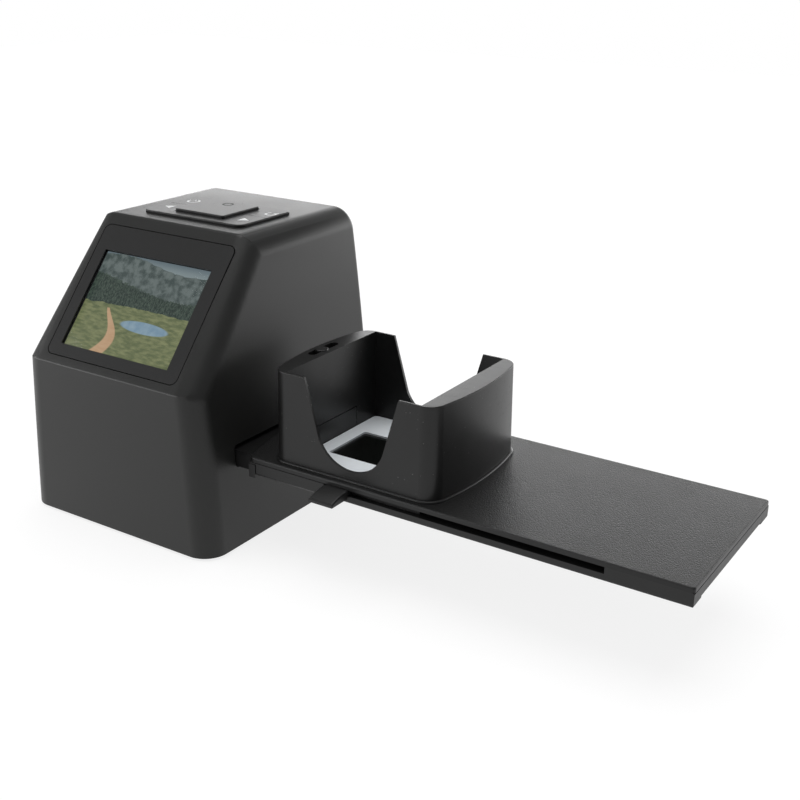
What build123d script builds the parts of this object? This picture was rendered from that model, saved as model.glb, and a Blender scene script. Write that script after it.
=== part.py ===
"""Film negative scanner with a quick-feed slide tray.

A wedge-shaped housing carries the screen, the keys, the camera and the light box.
A flat feed tray slides into the slot through its sides. A hopper on the tray holds
mounted slides, and a pusher in the tray sends the lowest one under the camera.

Millimetres. X runs along the tray, Y from the front to the back, Z up. The origin is
at the middle of the overall length and of the housing's depth, at the feet's undersides.
"""

from build123d import *
from math import atan2, cos, degrees, radians, sin, tan
import os

os.makedirs("parts", exist_ok=True)

# ---------------------------------------------------------------- driving dimensions

# Housing
body_width = 86.2
body_depth = 98.0
body_height = 101.6
bend_height = 56.8
slope_run = 37.8
front_draft = 0.2
back_lean = 2.4
right_lean = 8.55
right_bow = 1.0
left_lean = 6.3
left_bow = 0.5
side_round = 8.5
rear_round = 3.2
wall = 2.4

# Underside
foot_height = 1.0
foot_radius = 5.0
foot_sink = 0.6
foot_inset = 13.0
foot_spacing_inset = 27.0
floor_rim = 7.0
floor_corner = 5.0
base_thickness = 2.4
seat_gap = 0.2
boss_inset = 13.0
boss_radius = 3.5
boss_rib = 2.0
boss_height = 16.0
case_screw_radius = 1.3
case_screw_length = 11.0
case_head_radius = 2.6
case_head_height = 1.4
cross_width = 0.6
cross_length = 3.2
cross_depth = 0.7
foot_edge = 0.4

# Screen
screen_plate_width = 59.3
screen_plate_height = 50.7
screen_plate_corner = 2.5
screen_plate_thickness = 1.4
screen_plate_share = 0.488
groove = 0.3
screen_width = 48.96
screen_height = 36.72
screen_drop = 2.6
screen_shift = -0.45
screen_recess = 0.5
glass_border = 2.2
glass_thickness = 0.9
module_thickness = 2.6
module_gap = 0.2
bracket_thickness = 1.6
bracket_ear = 5.0
bracket_rail = 6.0
screen_boss_radius = 2.2

# Keys
pad_width = 45.2
pad_depth = 29.0
pad_corner = 3.2
pad_height = 1.0
pad_shift_x = 0.7
pad_from_front = 59.2
enter_width = 22.4
enter_depth = 20.0
enter_height = 1.0
enter_corner = 1.0
key_gap = 0.15
key_travel = 0.3
key_edge = 0.35
flange_width = 0.8
flange_thickness = 0.8
flange_gap = 0.1
stem_radius = 1.6
plunger_gap = 0.05
switch_size = 4.5
switch_height = 1.8
plunger_radius = 1.1
plunger_height = 0.7
key_board_width = 62.0
key_board_depth = 37.0
key_board_drop = 8.1
key_board_corner = 2.0
key_screw_inset = 3.0
board_thickness = 1.2
light_pipe_radius = 1.5
light_pipe_gap = 0.35
light_pipe_offset = 5.8
key_boss_radius = 2.4
status_length = 2.0
status_width = 1.3
status_height = 0.8

# Small screws of the boards, the bracket and the tray
small_screw_radius = 0.9
small_head_radius = 1.8
small_head_height = 1.1
small_screw_length = 4.0
screw_fit = 0.02
screw_end_gap = 0.4
joint_overlap = 0.5

# Feed tray
tray_lift = 28.7
tray_thickness = 6.15
tray_reach = 157.6
tray_gap = 5.8
tray_width = 64.7
tray_setback = 15.0
tray_wall = 1.4
tray_floor = 1.2
tray_edge = 0.8
end_bow = 5.2
skid_width = 6.0
skid_height = 1.2
stop_width = 2.6
stop_depth = 3.0
stop_drop = 0.9
stop_height = 3.7
stop_proud = 0.3
seam_depth = 0.25
seam_height = 0.3
cover_thickness = 1.6
cover_round = 0.5
cover_left_corner = 2.5
cover_right_corner = 0.9
pilot_cap = 0.5
neck_width = 60.0
neck_end_gap = 8.0
neck_cover_thickness = 1.2
tray_post_radius = 2.7
tray_post_inset = 7.5
tray_post_gap = 1.0
slot_side_gap = 0.5
slot_low_gap = 0.7
slot_high_gap = 1.5
slot_corner = 1.5

# Slides, gate and hopper
slide_size = 50.0
slide_thickness = 1.5
slide_corner = 1.5
film_width = 39.2
film_height = 21.2
film_corner = 0.8
film_edge = 1.2
film_thickness = 0.14
guide_gap = 0.25
feed_from_front = 44.0
gate_shift = 2.0
gate_window = 38.0
gate_window_depth = 28.0
hopper_from_body = 44.3
hopper_height = 31.0
hopper_draft = 0.8
hopper_wall = 1.2
hopper_edge = 0.3
hopper_end = 3.45
hopper_bulge = 3.4
hopper_corner = 6.0
hopper_cap = 1.6
bead_width = 0.7
bead_height = 0.8
bead_round = 0.5
notch_top_half = 17.5
notch_low_half = 12.0
notch_low_height = 11.65
notch_bottom_height = 3.45
cap_slot_length = 15.0
cap_slot_width = 3.0
cap_slot_offset = 4.0
cap_post_radius = 2.3
cap_post_shift = -1.0
cap_post_height = 0.35
cap_post_round = 0.3
hatch_width = 27.0
hatch_height = 6.75
hatch_gap = 0.3

# Pusher
pusher_thickness = 1.7
pusher_gap = 0.1
pusher_tail = 9.5
pusher_side_gap = 0.2
bar_width = 2.0
bar_step = 0.5
lug_length = 1.8
tab_width = 9.1
tab_reach = 8.6
tab_drop = 0.8
tab_tip = 1.3
tab_nose = 0.5
tab_crown = 0.3
tab_side_round = 0.6
tab_gap = 0.12
tab_clearance = 0.4
notch_start_gap = 0.3
notch_end_gap = 0.9
tab_from_hopper = 3.35
bar_from_hopper = 26.3

# Optics and electronics inside the housing
light_box_length = 58.0
light_box_depth = 48.0
light_box_wall = 1.6
led_length = 3.5
led_width = 2.8
led_height = 0.9
led_rows = 3
led_columns = 4
led_pitch = 11.0
diffuser_thickness = 2.0
diffuser_ledge = 0.8
gate_plate_thickness = 2.4
gate_length = 70.0
gate_rail = 3.0
gate_side_gap = 0.4
mask_thickness = 2.0
neck_float = 0.3
mask_gap = 2.15
spring_width = 5.0
spring_length = 34.0
spring_thickness = 0.25
spring_flat = 3.0
tunnel_length = 46.0
tunnel_depth = 36.0
tunnel_top = 24.0
tunnel_wall = 1.6
tunnel_flange = 4.0
lens_plate_drop = 12.0
lens_plate_thickness = 3.0
board_stack = 12.7
lens_radius = 6.0
lens_length = 12.0
lens_fit = 0.05
lens_rim = 1.5
lens_lip = 0.8
element_height = 2.4
sensor_size = 12.0
sensor_height = 1.5
main_board_width = 60.0
main_board_inset = 33.6
main_board_thickness = 1.6
main_board_back_gap = 2.0
board_post = 5.0
card_socket_width = 28.0
card_socket_depth = 27.0
card_socket_height = 3.0
card_mouth_width = 25.0
card_mouth_height = 2.8
usb_width = 9.0
usb_depth = 7.4
usb_height = 3.2
socket_x = 13.0
usb_x = 17.0
socket_wall_gap = 0.2
socket_shell = 0.4
card_end = 2.0
mouth_gap = 0.3
usb_back = 1.0
usb_reach = 0.5
usb_tongue_inset = 1.2
usb_tongue = 0.7
processor_size = 12.0
memory_width = 8.0
memory_depth = 11.0
chip_height = 1.2
chip_inset = 4.0
ribbon_thickness = 0.3

# ---------------------------------------------------------------- places worked out

overall_length = body_width + tray_reach
body_left = -overall_length / 2
body_right = body_left + body_width
body_x = (body_left + body_right) / 2
body_front = -body_depth / 2
body_back = body_depth / 2
shell_bottom = foot_height
shell_top = shell_bottom + body_height
bend_z = shell_bottom + bend_height
roof_low = shell_top - wall
base_top = shell_bottom + base_thickness

tray_left = body_right + tray_gap
tray_right = body_right + tray_reach
tray_front = body_front + tray_setback
tray_back = tray_front + tray_width
tray_y = (tray_front + tray_back) / 2
tray_bottom = shell_bottom + tray_lift
tray_floor_low = tray_bottom + skid_height
channel_low = tray_floor_low + tray_floor
tray_top = tray_bottom + tray_thickness
cover_low = tray_top - cover_thickness
neck_front = tray_y - neck_width / 2
neck_back = tray_y + neck_width / 2
neck_left = body_left + neck_end_gap
neck_top = cover_low + neck_cover_thickness

feed_y = body_front + feed_from_front
gate_x = body_x + gate_shift
hopper_x = body_right + hopper_from_body
stroke = hopper_x - gate_x
guide_half = slide_size / 2 + guide_gap

pusher_low = channel_low + pusher_gap
pusher_top = pusher_low + pusher_thickness
slide_low = pusher_top + pusher_gap

pad_x = body_x + pad_shift_x
pad_y = body_front + pad_from_front
pad_top = shell_top + pad_height
enter_top = pad_top + enter_height
flange_top = roof_low - flange_gap
flange_low = flange_top - flange_thickness
enter_flange_low = flange_low - key_travel - flange_gap - flange_thickness
key_board_top = shell_top - key_board_drop
plunger_top = key_board_top + switch_height + plunger_height
stem_low = plunger_top + key_travel + plunger_gap

gate_plate_top = tray_bottom - neck_float
gate_plate_low = gate_plate_top - gate_plate_thickness
mask_low = neck_top + mask_gap
mask_top = mask_low + mask_thickness
main_board_low = key_board_top - board_thickness - board_stack
lens_plate_low = main_board_low - lens_plate_drop

UP = (Align.CENTER, Align.CENTER, Align.MIN)
DOWN = (Align.CENTER, Align.CENTER, Align.MAX)


def corners(x, y, half_x, half_y):
    """Four points of a rectangle about (x, y)."""
    return [(x + sx * half_x, y + sy * half_y) for sx in (-1, 1) for sy in (-1, 1)]


def slab(x_low, x_high, y_low, y_high, z_low, z_high, mode=Mode.ADD):
    """A box between its low and high corners, in the part being built."""
    middle = ((x_low + x_high) / 2, (y_low + y_high) / 2, (z_low + z_high) / 2)
    with Locations(middle):
        Box(x_high - x_low, y_high - y_low, z_high - z_low, mode=mode)


def finish(builder, name):
    """Label a finished sub-part and write it to its own file."""
    builder.part.label = name
    export_step(builder.part, "parts/" + name + ".step")


# ---------------------------------------------------------------- housing


def wedge(inset):
    """The housing's rounded wedge, with every face moved inwards by inset.

    The side view and the front view are each extruded, and the wedge is what the two
    share. The long corners that run up the front, the slope, the top and the back
    are rounded afterwards.
    """
    slope_top = body_front + front_draft + slope_run
    half = body_width / 2
    with BuildPart() as form:
        with BuildSketch(Plane.YZ.offset(body_x)):
            with BuildLine():
                Polyline(
                    (body_front, shell_bottom),
                    (body_front + front_draft, bend_z),
                    (slope_top, shell_top),
                    (body_back - back_lean, shell_top),
                    (body_back, shell_bottom),
                    close=True,
                )
            make_face()
            if inset > 0:
                offset(amount=-inset, kind=Kind.INTERSECTION)
        extrude(amount=body_width, both=True)
        with BuildSketch(Plane(origin=(body_x, 0, shell_bottom), x_dir=(1, 0, 0), z_dir=(0, -1, 0))):
            with BuildLine():
                right_mid = half - right_lean / 2 + right_bow
                left_mid = half - left_lean / 2 + left_bow
                ThreePointArc((half, 0), (right_mid, body_height / 2), (half - right_lean, body_height))
                Line((half - right_lean, body_height), (left_lean - half, body_height))
                ThreePointArc((left_lean - half, body_height), (-left_mid, body_height / 2), (-half, 0))
                Line((-half, 0), (half, 0))
            make_face()
            if inset > 0:
                offset(amount=-inset, kind=Kind.INTERSECTION)
        extrude(amount=body_depth, both=True, mode=Mode.INTERSECT)

        floor_z = shell_bottom + inset + 1
        rear_y = body_back - back_lean - inset - 2
        rising = [e for e in form.edges() if (e @ 0.5).Z > floor_z and abs((e @ 0 - e @ 1).X) < right_lean]
        fillet([e for e in rising if (e @ 0.5).Y < rear_y], side_round - inset)
        rear = [e for e in form.edges() if (e @ 0.5).Y > rear_y and (e @ 0.5).Z > floor_z]
        fillet(rear, rear_round - inset)
    return form.part


slope_angle = atan2(body_height - bend_height, slope_run)
slope_length = (body_height - bend_height) / sin(slope_angle)
plate_along = screen_plate_share * slope_length
screen_face = Plane(
    origin=(
        body_x,
        body_front + front_draft + plate_along * cos(slope_angle),
        bend_z + plate_along * sin(slope_angle),
    ),
    x_dir=(1, 0, 0),
    z_dir=(0, -sin(slope_angle), cos(slope_angle)),
)
module_width = screen_width + 2 * glass_border
module_height = screen_height + 2 * glass_border
module_low = screen_plate_thickness + module_thickness
screen_centre = (screen_shift, -screen_drop)
screen_bosses = [
    (screen_shift + side * (module_width / 2 + bracket_ear / 2 + module_gap), y - screen_drop)
    for side in (-1, 1)
    for y in (-module_height / 4, module_height / 4)
]
case_screw_points = corners(body_x, 0, body_width / 2 - boss_inset, body_depth / 2 - boss_inset)
key_screw_points = corners(
    pad_x, pad_y, key_board_width / 2 - key_screw_inset, key_board_depth / 2 - key_screw_inset
)
floor_width = body_width - 2 * floor_rim
floor_depth = body_depth - 2 * floor_rim
slot_low = tray_bottom - slot_low_gap
slot_high = neck_top + slot_high_gap
socket_low = main_board_low + main_board_thickness
back_at_sockets = body_back - back_lean * (socket_low - shell_bottom) / body_height
back_inner = back_at_sockets - wall

outer_wedge = wedge(0)
inner_wedge = wedge(wall)

with BuildPart() as housing_shell:
    add(outer_wedge)
    add(inner_wedge, mode=Mode.SUBTRACT)
    # opening for the base plate
    with BuildSketch(Plane.XY.offset(shell_bottom)):
        with Locations((body_x, 0)):
            RectangleRounded(floor_width, floor_depth, floor_corner)
    extrude(amount=wall, mode=Mode.SUBTRACT)
    # bosses for the case screws, each tied to its side wall
    for x, y in case_screw_points:
        side = 1 if x > body_x else -1
        rib_end = body_x + side * (body_width / 2 - wall)
        with Locations((x, y, base_top)):
            Cylinder(boss_radius, boss_height, align=UP)
        slab(
            min(x, rib_end),
            max(x, rib_end),
            y - boss_rib / 2,
            y + boss_rib / 2,
            base_top,
            base_top + boss_height,
        )
    for x, y in case_screw_points:
        with Locations((x, y, base_top)):
            Cylinder(case_screw_radius + screw_fit, case_screw_length, align=UP, mode=Mode.SUBTRACT)
    # bosses for the key board, hanging from the roof
    for x, y in key_screw_points:
        with Locations((x, y, key_board_top)):
            Cylinder(key_boss_radius, roof_low - key_board_top + joint_overlap, align=UP)
            Cylinder(small_screw_radius + screw_fit, small_screw_length, align=UP, mode=Mode.SUBTRACT)
    # slot through both sides for the feed tray
    with BuildSketch(Plane.YZ.offset(body_x)):
        with Locations((tray_y, (slot_low + slot_high) / 2)):
            RectangleRounded(neck_width + 2 * slot_side_gap, slot_high - slot_low, slot_corner)
    extrude(amount=body_width, both=True, mode=Mode.SUBTRACT)
    # recess for the screen plate, and the way through to the screen module
    with BuildSketch(screen_face):
        RectangleRounded(
            screen_plate_width + 2 * groove, screen_plate_height + 2 * groove, screen_plate_corner + groove
        )
    extrude(amount=-screen_plate_thickness, mode=Mode.SUBTRACT)
    with BuildSketch(screen_face):
        with Locations(screen_centre):
            Rectangle(module_width + 2 * seat_gap, module_height + 2 * seat_gap)
    extrude(amount=-module_low, mode=Mode.SUBTRACT)
    # bosses for the screen bracket
    with BuildSketch(screen_face.offset(-module_low)):
        with Locations(*screen_bosses):
            Circle(screen_boss_radius)
    extrude(amount=module_low - wall + seat_gap)
    with BuildSketch(screen_face.offset(-module_low)):
        with Locations(*screen_bosses):
            Circle(small_screw_radius + screw_fit)
    extrude(amount=module_low - screen_plate_thickness - screw_end_gap, mode=Mode.SUBTRACT)
    # opening for the keys
    with BuildSketch(Plane.XY.offset(roof_low)):
        with Locations((pad_x, pad_y)):
            RectangleRounded(pad_width + 2 * key_gap, pad_depth + 2 * key_gap, pad_corner + key_gap)
    extrude(amount=wall, mode=Mode.SUBTRACT)
    # mouths of the card socket and the USB socket in the back
    slab(
        body_x - socket_x - card_mouth_width / 2,
        body_x - socket_x + card_mouth_width / 2,
        back_inner - 1,
        body_back + 1,
        socket_low + seat_gap,
        socket_low + seat_gap + card_mouth_height,
        Mode.SUBTRACT,
    )
    slab(
        body_x + usb_x - usb_width / 2 - mouth_gap,
        body_x + usb_x + usb_width / 2 + mouth_gap,
        back_inner - 1,
        body_back + 1,
        socket_low - mouth_gap,
        socket_low + usb_height + mouth_gap,
        Mode.SUBTRACT,
    )
finish(housing_shell, "housing_shell")

# ---------------------------------------------------------------- underside

foot_points = corners(body_x, 0, body_width / 2 - foot_inset, body_depth / 2 - foot_spacing_inset)

with BuildPart() as base_plate:
    with BuildSketch(Plane.XY.offset(shell_bottom)):
        with Locations((body_x, 0)):
            RectangleRounded(
                floor_width - 2 * seat_gap, floor_depth - 2 * seat_gap, floor_corner - seat_gap
            )
    extrude(amount=base_thickness)
    for x, y in case_screw_points:
        with Locations((x, y, shell_bottom)):
            Cylinder(case_screw_radius + seat_gap, base_thickness, align=UP, mode=Mode.SUBTRACT)
            Cylinder(case_head_radius + seat_gap, case_head_height, align=UP, mode=Mode.SUBTRACT)
    for x, y in foot_points:
        with Locations((x, y, shell_bottom)):
            Cylinder(foot_radius, foot_sink, align=UP, mode=Mode.SUBTRACT)
finish(base_plate, "base_plate")

with BuildPart() as rubber_feet:
    for x, y in foot_points:
        with Locations((x, y, 0)):
            Cylinder(foot_radius, foot_height + foot_sink, align=UP)
    fillet(rubber_feet.edges().group_by(Axis.Z)[0], foot_edge)
finish(rubber_feet, "rubber_feet")

with BuildPart() as case_screws:
    for x, y in case_screw_points:
        with Locations((x, y, shell_bottom)):
            Cylinder(case_head_radius, case_head_height, align=UP)
        with Locations((x, y, shell_bottom + case_head_height)):
            Cylinder(
                case_screw_radius,
                base_thickness - case_head_height + case_screw_length - screw_end_gap,
                align=UP,
            )
        with Locations((x, y, shell_bottom)):
            Box(cross_width, cross_length, cross_depth, align=UP, mode=Mode.SUBTRACT)
            Box(cross_length, cross_width, cross_depth, align=UP, mode=Mode.SUBTRACT)
finish(case_screws, "case_screws")

# ---------------------------------------------------------------- screen

with BuildPart() as screen_plate:
    with BuildSketch(screen_face):
        RectangleRounded(screen_plate_width, screen_plate_height, screen_plate_corner)
        with Locations(screen_centre):
            Rectangle(screen_width, screen_height, mode=Mode.SUBTRACT)
    extrude(amount=-screen_plate_thickness)
    with BuildSketch(screen_face.offset(-screen_recess)):
        with Locations(screen_centre):
            Rectangle(module_width, module_height)
    extrude(amount=-screen_plate_thickness, mode=Mode.SUBTRACT)
finish(screen_plate, "screen_plate")

with BuildPart() as screen_glass:
    with BuildSketch(screen_face.offset(-screen_recess)):
        with Locations(screen_centre):
            Rectangle(module_width - 2 * seat_gap, module_height - 2 * seat_gap)
    extrude(amount=-glass_thickness)
finish(screen_glass, "screen_glass")

with BuildPart() as screen_module:
    with BuildSketch(screen_face.offset(-screen_recess - glass_thickness)):
        with Locations(screen_centre):
            Rectangle(module_width - 2 * seat_gap, module_height - 2 * seat_gap)
    extrude(amount=-(module_low - screen_recess - glass_thickness))
finish(screen_module, "screen_module")

with BuildPart() as screen_bracket:
    with BuildSketch(screen_face.offset(-module_low)):
        with Locations(screen_centre):
            Rectangle(module_width, module_height)
            Rectangle(
                module_width - 2 * bracket_rail, module_height - 2 * bracket_rail, mode=Mode.SUBTRACT
            )
        for x, y in screen_bosses:
            inwards = -1 if x > screen_shift else 1
            with Locations((x, y)):
                Circle(bracket_ear / 2)
            with Locations((x + inwards * bracket_ear / 2, y)):
                Rectangle(bracket_ear, bracket_ear)
        with Locations(*screen_bosses):
            Circle(small_screw_radius + seat_gap, mode=Mode.SUBTRACT)
    extrude(amount=-bracket_thickness)
finish(screen_bracket, "screen_bracket")

with BuildPart() as screen_screws:
    with BuildSketch(screen_face.offset(-module_low - bracket_thickness)):
        with Locations(*screen_bosses):
            Circle(small_head_radius)
    extrude(amount=-small_head_height)
    with BuildSketch(screen_face.offset(-module_low - bracket_thickness)):
        with Locations(*screen_bosses):
            Circle(small_screw_radius)
    extrude(amount=bracket_thickness + module_low - screen_plate_thickness - 2 * screw_end_gap)
finish(screen_screws, "screen_screws")

# ---------------------------------------------------------------- keys

enter_hole_width = enter_width + 2 * key_gap
enter_hole_depth = enter_depth + 2 * key_gap
enter_stem_y = pad_y - enter_depth / 6
arm_x = (pad_width + enter_width) / 4
arm_y = pad_depth / 4


def corner_key(side_x, side_y):
    """One of the four keys around the middle one: a quarter of the raised pad."""
    with BuildPart() as key:
        with BuildSketch(Plane.XY.offset(flange_top)):
            with Locations((pad_x, pad_y)):
                RectangleRounded(pad_width, pad_depth, pad_corner)
        extrude(amount=pad_top - flange_top)
        fillet(key.edges().group_by(Axis.Z)[-1], key_edge)
        with BuildSketch(Plane.XY.offset(flange_low)):
            with Locations((pad_x, pad_y)):
                RectangleRounded(
                    pad_width + 2 * flange_width, pad_depth + 2 * flange_width, pad_corner + flange_width
                )
        extrude(amount=flange_thickness)
        with Locations((pad_x, pad_y, flange_low)):
            Box(enter_hole_width, enter_hole_depth, pad_top - flange_low, align=UP, mode=Mode.SUBTRACT)
        near = (pad_x + side_x * key_gap / 2, pad_y + side_y * key_gap / 2)
        far = (pad_x + side_x * pad_width, pad_y + side_y * pad_depth)
        slab(
            min(near[0], far[0]),
            max(near[0], far[0]),
            min(near[1], far[1]),
            max(near[1], far[1]),
            flange_low,
            pad_top,
            Mode.INTERSECT,
        )
        with Locations((pad_x + side_x * arm_x, pad_y + side_y * arm_y, stem_low)):
            Cylinder(stem_radius, flange_low - stem_low, align=UP)
    return key


key_sides = {"left_key": (-1, -1), "power_key": (-1, 1), "right_key": (1, -1), "back_key": (1, 1)}
for key_name, (side_x, side_y) in key_sides.items():
    finish(corner_key(side_x, side_y), key_name)

with BuildPart() as enter_key:
    with BuildSketch(Plane.XY.offset(enter_flange_low)):
        with Locations((pad_x, pad_y)):
            RectangleRounded(enter_width, enter_depth, enter_corner)
    extrude(amount=enter_top - enter_flange_low)
    fillet(enter_key.edges().group_by(Axis.Z)[-1], key_edge)
    with Locations((pad_x, pad_y, enter_flange_low)):
        Box(enter_width + 2 * flange_width, enter_depth + 2 * flange_width, flange_thickness, align=UP)
    with Locations((pad_x, enter_stem_y, stem_low)):
        Cylinder(stem_radius, enter_flange_low - stem_low, align=UP)
    with Locations((pad_x, pad_y + light_pipe_offset, enter_flange_low)):
        Cylinder(light_pipe_radius + light_pipe_gap, enter_top, align=UP, mode=Mode.SUBTRACT)
finish(enter_key, "enter_key")

switch_points = [(pad_x + sx * arm_x, pad_y + sy * arm_y) for sx, sy in key_sides.values()]
switch_points.append((pad_x, enter_stem_y))

with BuildPart() as key_board:
    with BuildSketch(Plane.XY.offset(key_board_top)):
        with Locations((pad_x, pad_y)):
            RectangleRounded(key_board_width, key_board_depth, key_board_corner)
        with Locations(*key_screw_points):
            Circle(small_screw_radius + seat_gap, mode=Mode.SUBTRACT)
    extrude(amount=-board_thickness)
finish(key_board, "key_board")

with BuildPart() as key_switches:
    for x, y in switch_points:
        with Locations((x, y, key_board_top)):
            Box(switch_size, switch_size, switch_height, align=UP)
            Cylinder(plunger_radius, switch_height + plunger_height, align=UP)
finish(key_switches, "key_switches")

with BuildPart() as key_board_screws:
    for x, y in key_screw_points:
        with Locations((x, y, key_board_top - board_thickness)):
            Cylinder(small_head_radius, small_head_height, align=DOWN)
            Cylinder(
                small_screw_radius, board_thickness + small_screw_length - screw_end_gap, align=UP
            )
finish(key_board_screws, "key_board_screws")

with BuildPart() as status_light:
    with Locations((pad_x, pad_y + light_pipe_offset, key_board_top)):
        Box(status_length, status_width, status_height, align=UP)
finish(status_light, "status_light")

with BuildPart() as light_pipe:
    with Locations((pad_x, pad_y + light_pipe_offset, key_board_top + status_height)):
        Cylinder(light_pipe_radius, enter_top - key_board_top - status_height, align=UP)
finish(light_pipe, "light_pipe")

# ---------------------------------------------------------------- light box and film gate

with BuildPart() as light_box:
    with Locations((gate_x, feed_y, base_top)):
        Box(light_box_length, light_box_depth, gate_plate_low - base_top, align=UP)
    with Locations((gate_x, feed_y, base_top + light_box_wall)):
        Box(
            light_box_length - 2 * light_box_wall,
            light_box_depth - 2 * light_box_wall,
            gate_plate_low - base_top,
            align=UP,
            mode=Mode.SUBTRACT,
        )
    with Locations((gate_x, feed_y, gate_plate_low - diffuser_thickness)):
        Box(
            light_box_length - 2 * diffuser_ledge,
            light_box_depth - 2 * diffuser_ledge,
            diffuser_thickness,
            align=UP,
            mode=Mode.SUBTRACT,
        )
finish(light_box, "light_box")

led_board_low = base_top + light_box_wall

with BuildPart() as led_board:
    with Locations((gate_x, feed_y, led_board_low)):
        Box(
            light_box_length - 2 * light_box_wall - 2 * seat_gap,
            light_box_depth - 2 * light_box_wall - 2 * seat_gap,
            board_thickness,
            align=UP,
        )
finish(led_board, "led_board")

with BuildPart() as backlight_leds:
    with Locations((gate_x, feed_y, led_board_low + board_thickness)):
        with GridLocations(led_pitch, led_pitch, led_columns, led_rows):
            Box(led_length, led_width, led_height, align=UP)
finish(backlight_leds, "backlight_leds")

with BuildPart() as light_diffuser:
    with Locations((gate_x, feed_y, gate_plate_low - diffuser_thickness)):
        Box(
            light_box_length - 2 * diffuser_ledge - 2 * seat_gap,
            light_box_depth - 2 * diffuser_ledge - 2 * seat_gap,
            diffuser_thickness,
            align=UP,
        )
finish(light_diffuser, "light_diffuser")

gate_front = neck_front - gate_side_gap - gate_rail
gate_back = neck_back + gate_side_gap + gate_rail
gate_left = gate_x - gate_length / 2
gate_right = gate_x + gate_length / 2

with BuildPart() as film_gate:
    slab(gate_left, gate_right, gate_front, gate_back, gate_plate_low, gate_plate_top)
    slab(gate_left, gate_right, gate_front, gate_front + gate_rail, gate_plate_top, mask_low)
    slab(gate_left, gate_right, gate_back - gate_rail, gate_back, gate_plate_top, mask_low)
    with Locations((gate_x, feed_y, gate_plate_low)):
        Box(gate_window, gate_window_depth, gate_plate_thickness, align=UP, mode=Mode.SUBTRACT)
finish(film_gate, "film_gate")

with BuildPart() as film_mask:
    slab(gate_left, gate_right, gate_front, gate_back, mask_low, mask_top)
    with Locations((gate_x, feed_y, mask_low)):
        Box(gate_window, gate_window_depth, mask_thickness, align=UP, mode=Mode.SUBTRACT)
finish(film_mask, "film_mask")

spring_sag = mask_gap - neck_float
spring_half = spring_length / 2

with BuildPart() as holder_springs:
    for y in (neck_front + spring_width, neck_back - spring_width):
        with BuildSketch(Plane(origin=(gate_x, y, mask_low), x_dir=(1, 0, 0), z_dir=(0, -1, 0))):
            with BuildLine():
                inner = spring_half - spring_flat
                ThreePointArc((-inner, 0), (0, -spring_sag + spring_thickness), (inner, 0))
                Line((inner, 0), (spring_half, 0))
                Line((spring_half, 0), (spring_half, -spring_thickness))
                Line((spring_half, -spring_thickness), (inner, -spring_thickness))
                ThreePointArc((inner, -spring_thickness), (0, -spring_sag), (-inner, -spring_thickness))
                Line((-inner, -spring_thickness), (-spring_half, -spring_thickness))
                Line((-spring_half, -spring_thickness), (-spring_half, 0))
                Line((-spring_half, 0), (-inner, 0))
            make_face()
        extrude(amount=spring_width / 2, both=True)
finish(holder_springs, "holder_springs")

# ---------------------------------------------------------------- camera

tunnel_half = tunnel_top / 2
post_points = corners(gate_x, feed_y, tunnel_half + board_post / 2, tunnel_half - board_post / 2)

with BuildPart() as camera_tunnel:
    slab(
        gate_x - tunnel_length / 2 - tunnel_flange,
        gate_x + tunnel_length / 2 + tunnel_flange,
        feed_y - tunnel_depth / 2 - tunnel_flange,
        feed_y + tunnel_depth / 2 + tunnel_flange,
        mask_top,
        mask_top + tunnel_wall,
    )
    with BuildSketch(Plane.XY.offset(mask_top)):
        with Locations((gate_x, feed_y)):
            Rectangle(tunnel_length, tunnel_depth)
    with BuildSketch(Plane.XY.offset(lens_plate_low)):
        with Locations((gate_x, feed_y)):
            Rectangle(tunnel_top, tunnel_top)
    loft()
    with Locations((gate_x, feed_y, lens_plate_low)):
        Box(tunnel_top, tunnel_top, main_board_low - lens_plate_low, align=UP)
    for x, y in post_points:
        with Locations((x, y, lens_plate_low)):
            Box(board_post, board_post, main_board_low - lens_plate_low, align=UP)
    with BuildSketch(Plane.XY.offset(mask_top)):
        with Locations((gate_x, feed_y)):
            Rectangle(tunnel_length - 2 * tunnel_wall, tunnel_depth - 2 * tunnel_wall)
    with BuildSketch(Plane.XY.offset(lens_plate_low)):
        with Locations((gate_x, feed_y)):
            Rectangle(tunnel_top - 2 * tunnel_wall, tunnel_top - 2 * tunnel_wall)
    loft(mode=Mode.SUBTRACT)
    with Locations((gate_x, feed_y, lens_plate_low + lens_plate_thickness)):
        Box(
            tunnel_top - 2 * tunnel_wall,
            tunnel_top - 2 * tunnel_wall,
            main_board_low - lens_plate_low,
            align=UP,
            mode=Mode.SUBTRACT,
        )
    with Locations((gate_x, feed_y, lens_plate_low)):
        Cylinder(lens_radius + lens_fit, lens_plate_thickness, align=UP, mode=Mode.SUBTRACT)
    for x, y in post_points:
        with Locations((x, y, main_board_low)):
            Cylinder(small_screw_radius + screw_fit, small_screw_length, align=DOWN, mode=Mode.SUBTRACT)
finish(camera_tunnel, "camera_tunnel")

lens_low = lens_plate_low - lens_length / 3
element_radius = lens_radius - lens_rim

with BuildPart() as lens_barrel:
    with Locations((gate_x, feed_y, lens_low)):
        Cylinder(lens_radius, lens_length, align=UP)
        Cylinder(element_radius - lens_lip, lens_length, align=UP, mode=Mode.SUBTRACT)
        Cylinder(element_radius + screw_fit, element_height, align=UP, mode=Mode.SUBTRACT)
    with Locations((gate_x, feed_y, lens_low + lens_length)):
        Cylinder(element_radius + screw_fit, element_height, align=DOWN, mode=Mode.SUBTRACT)
finish(lens_barrel, "lens_barrel")

with BuildPart() as lens_glass:
    with Locations((gate_x, feed_y, lens_low)):
        Cylinder(element_radius, element_height, align=UP)
    with Locations((gate_x, feed_y, lens_low + lens_length)):
        Cylinder(element_radius, element_height, align=DOWN)
finish(lens_glass, "lens_glass")

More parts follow.
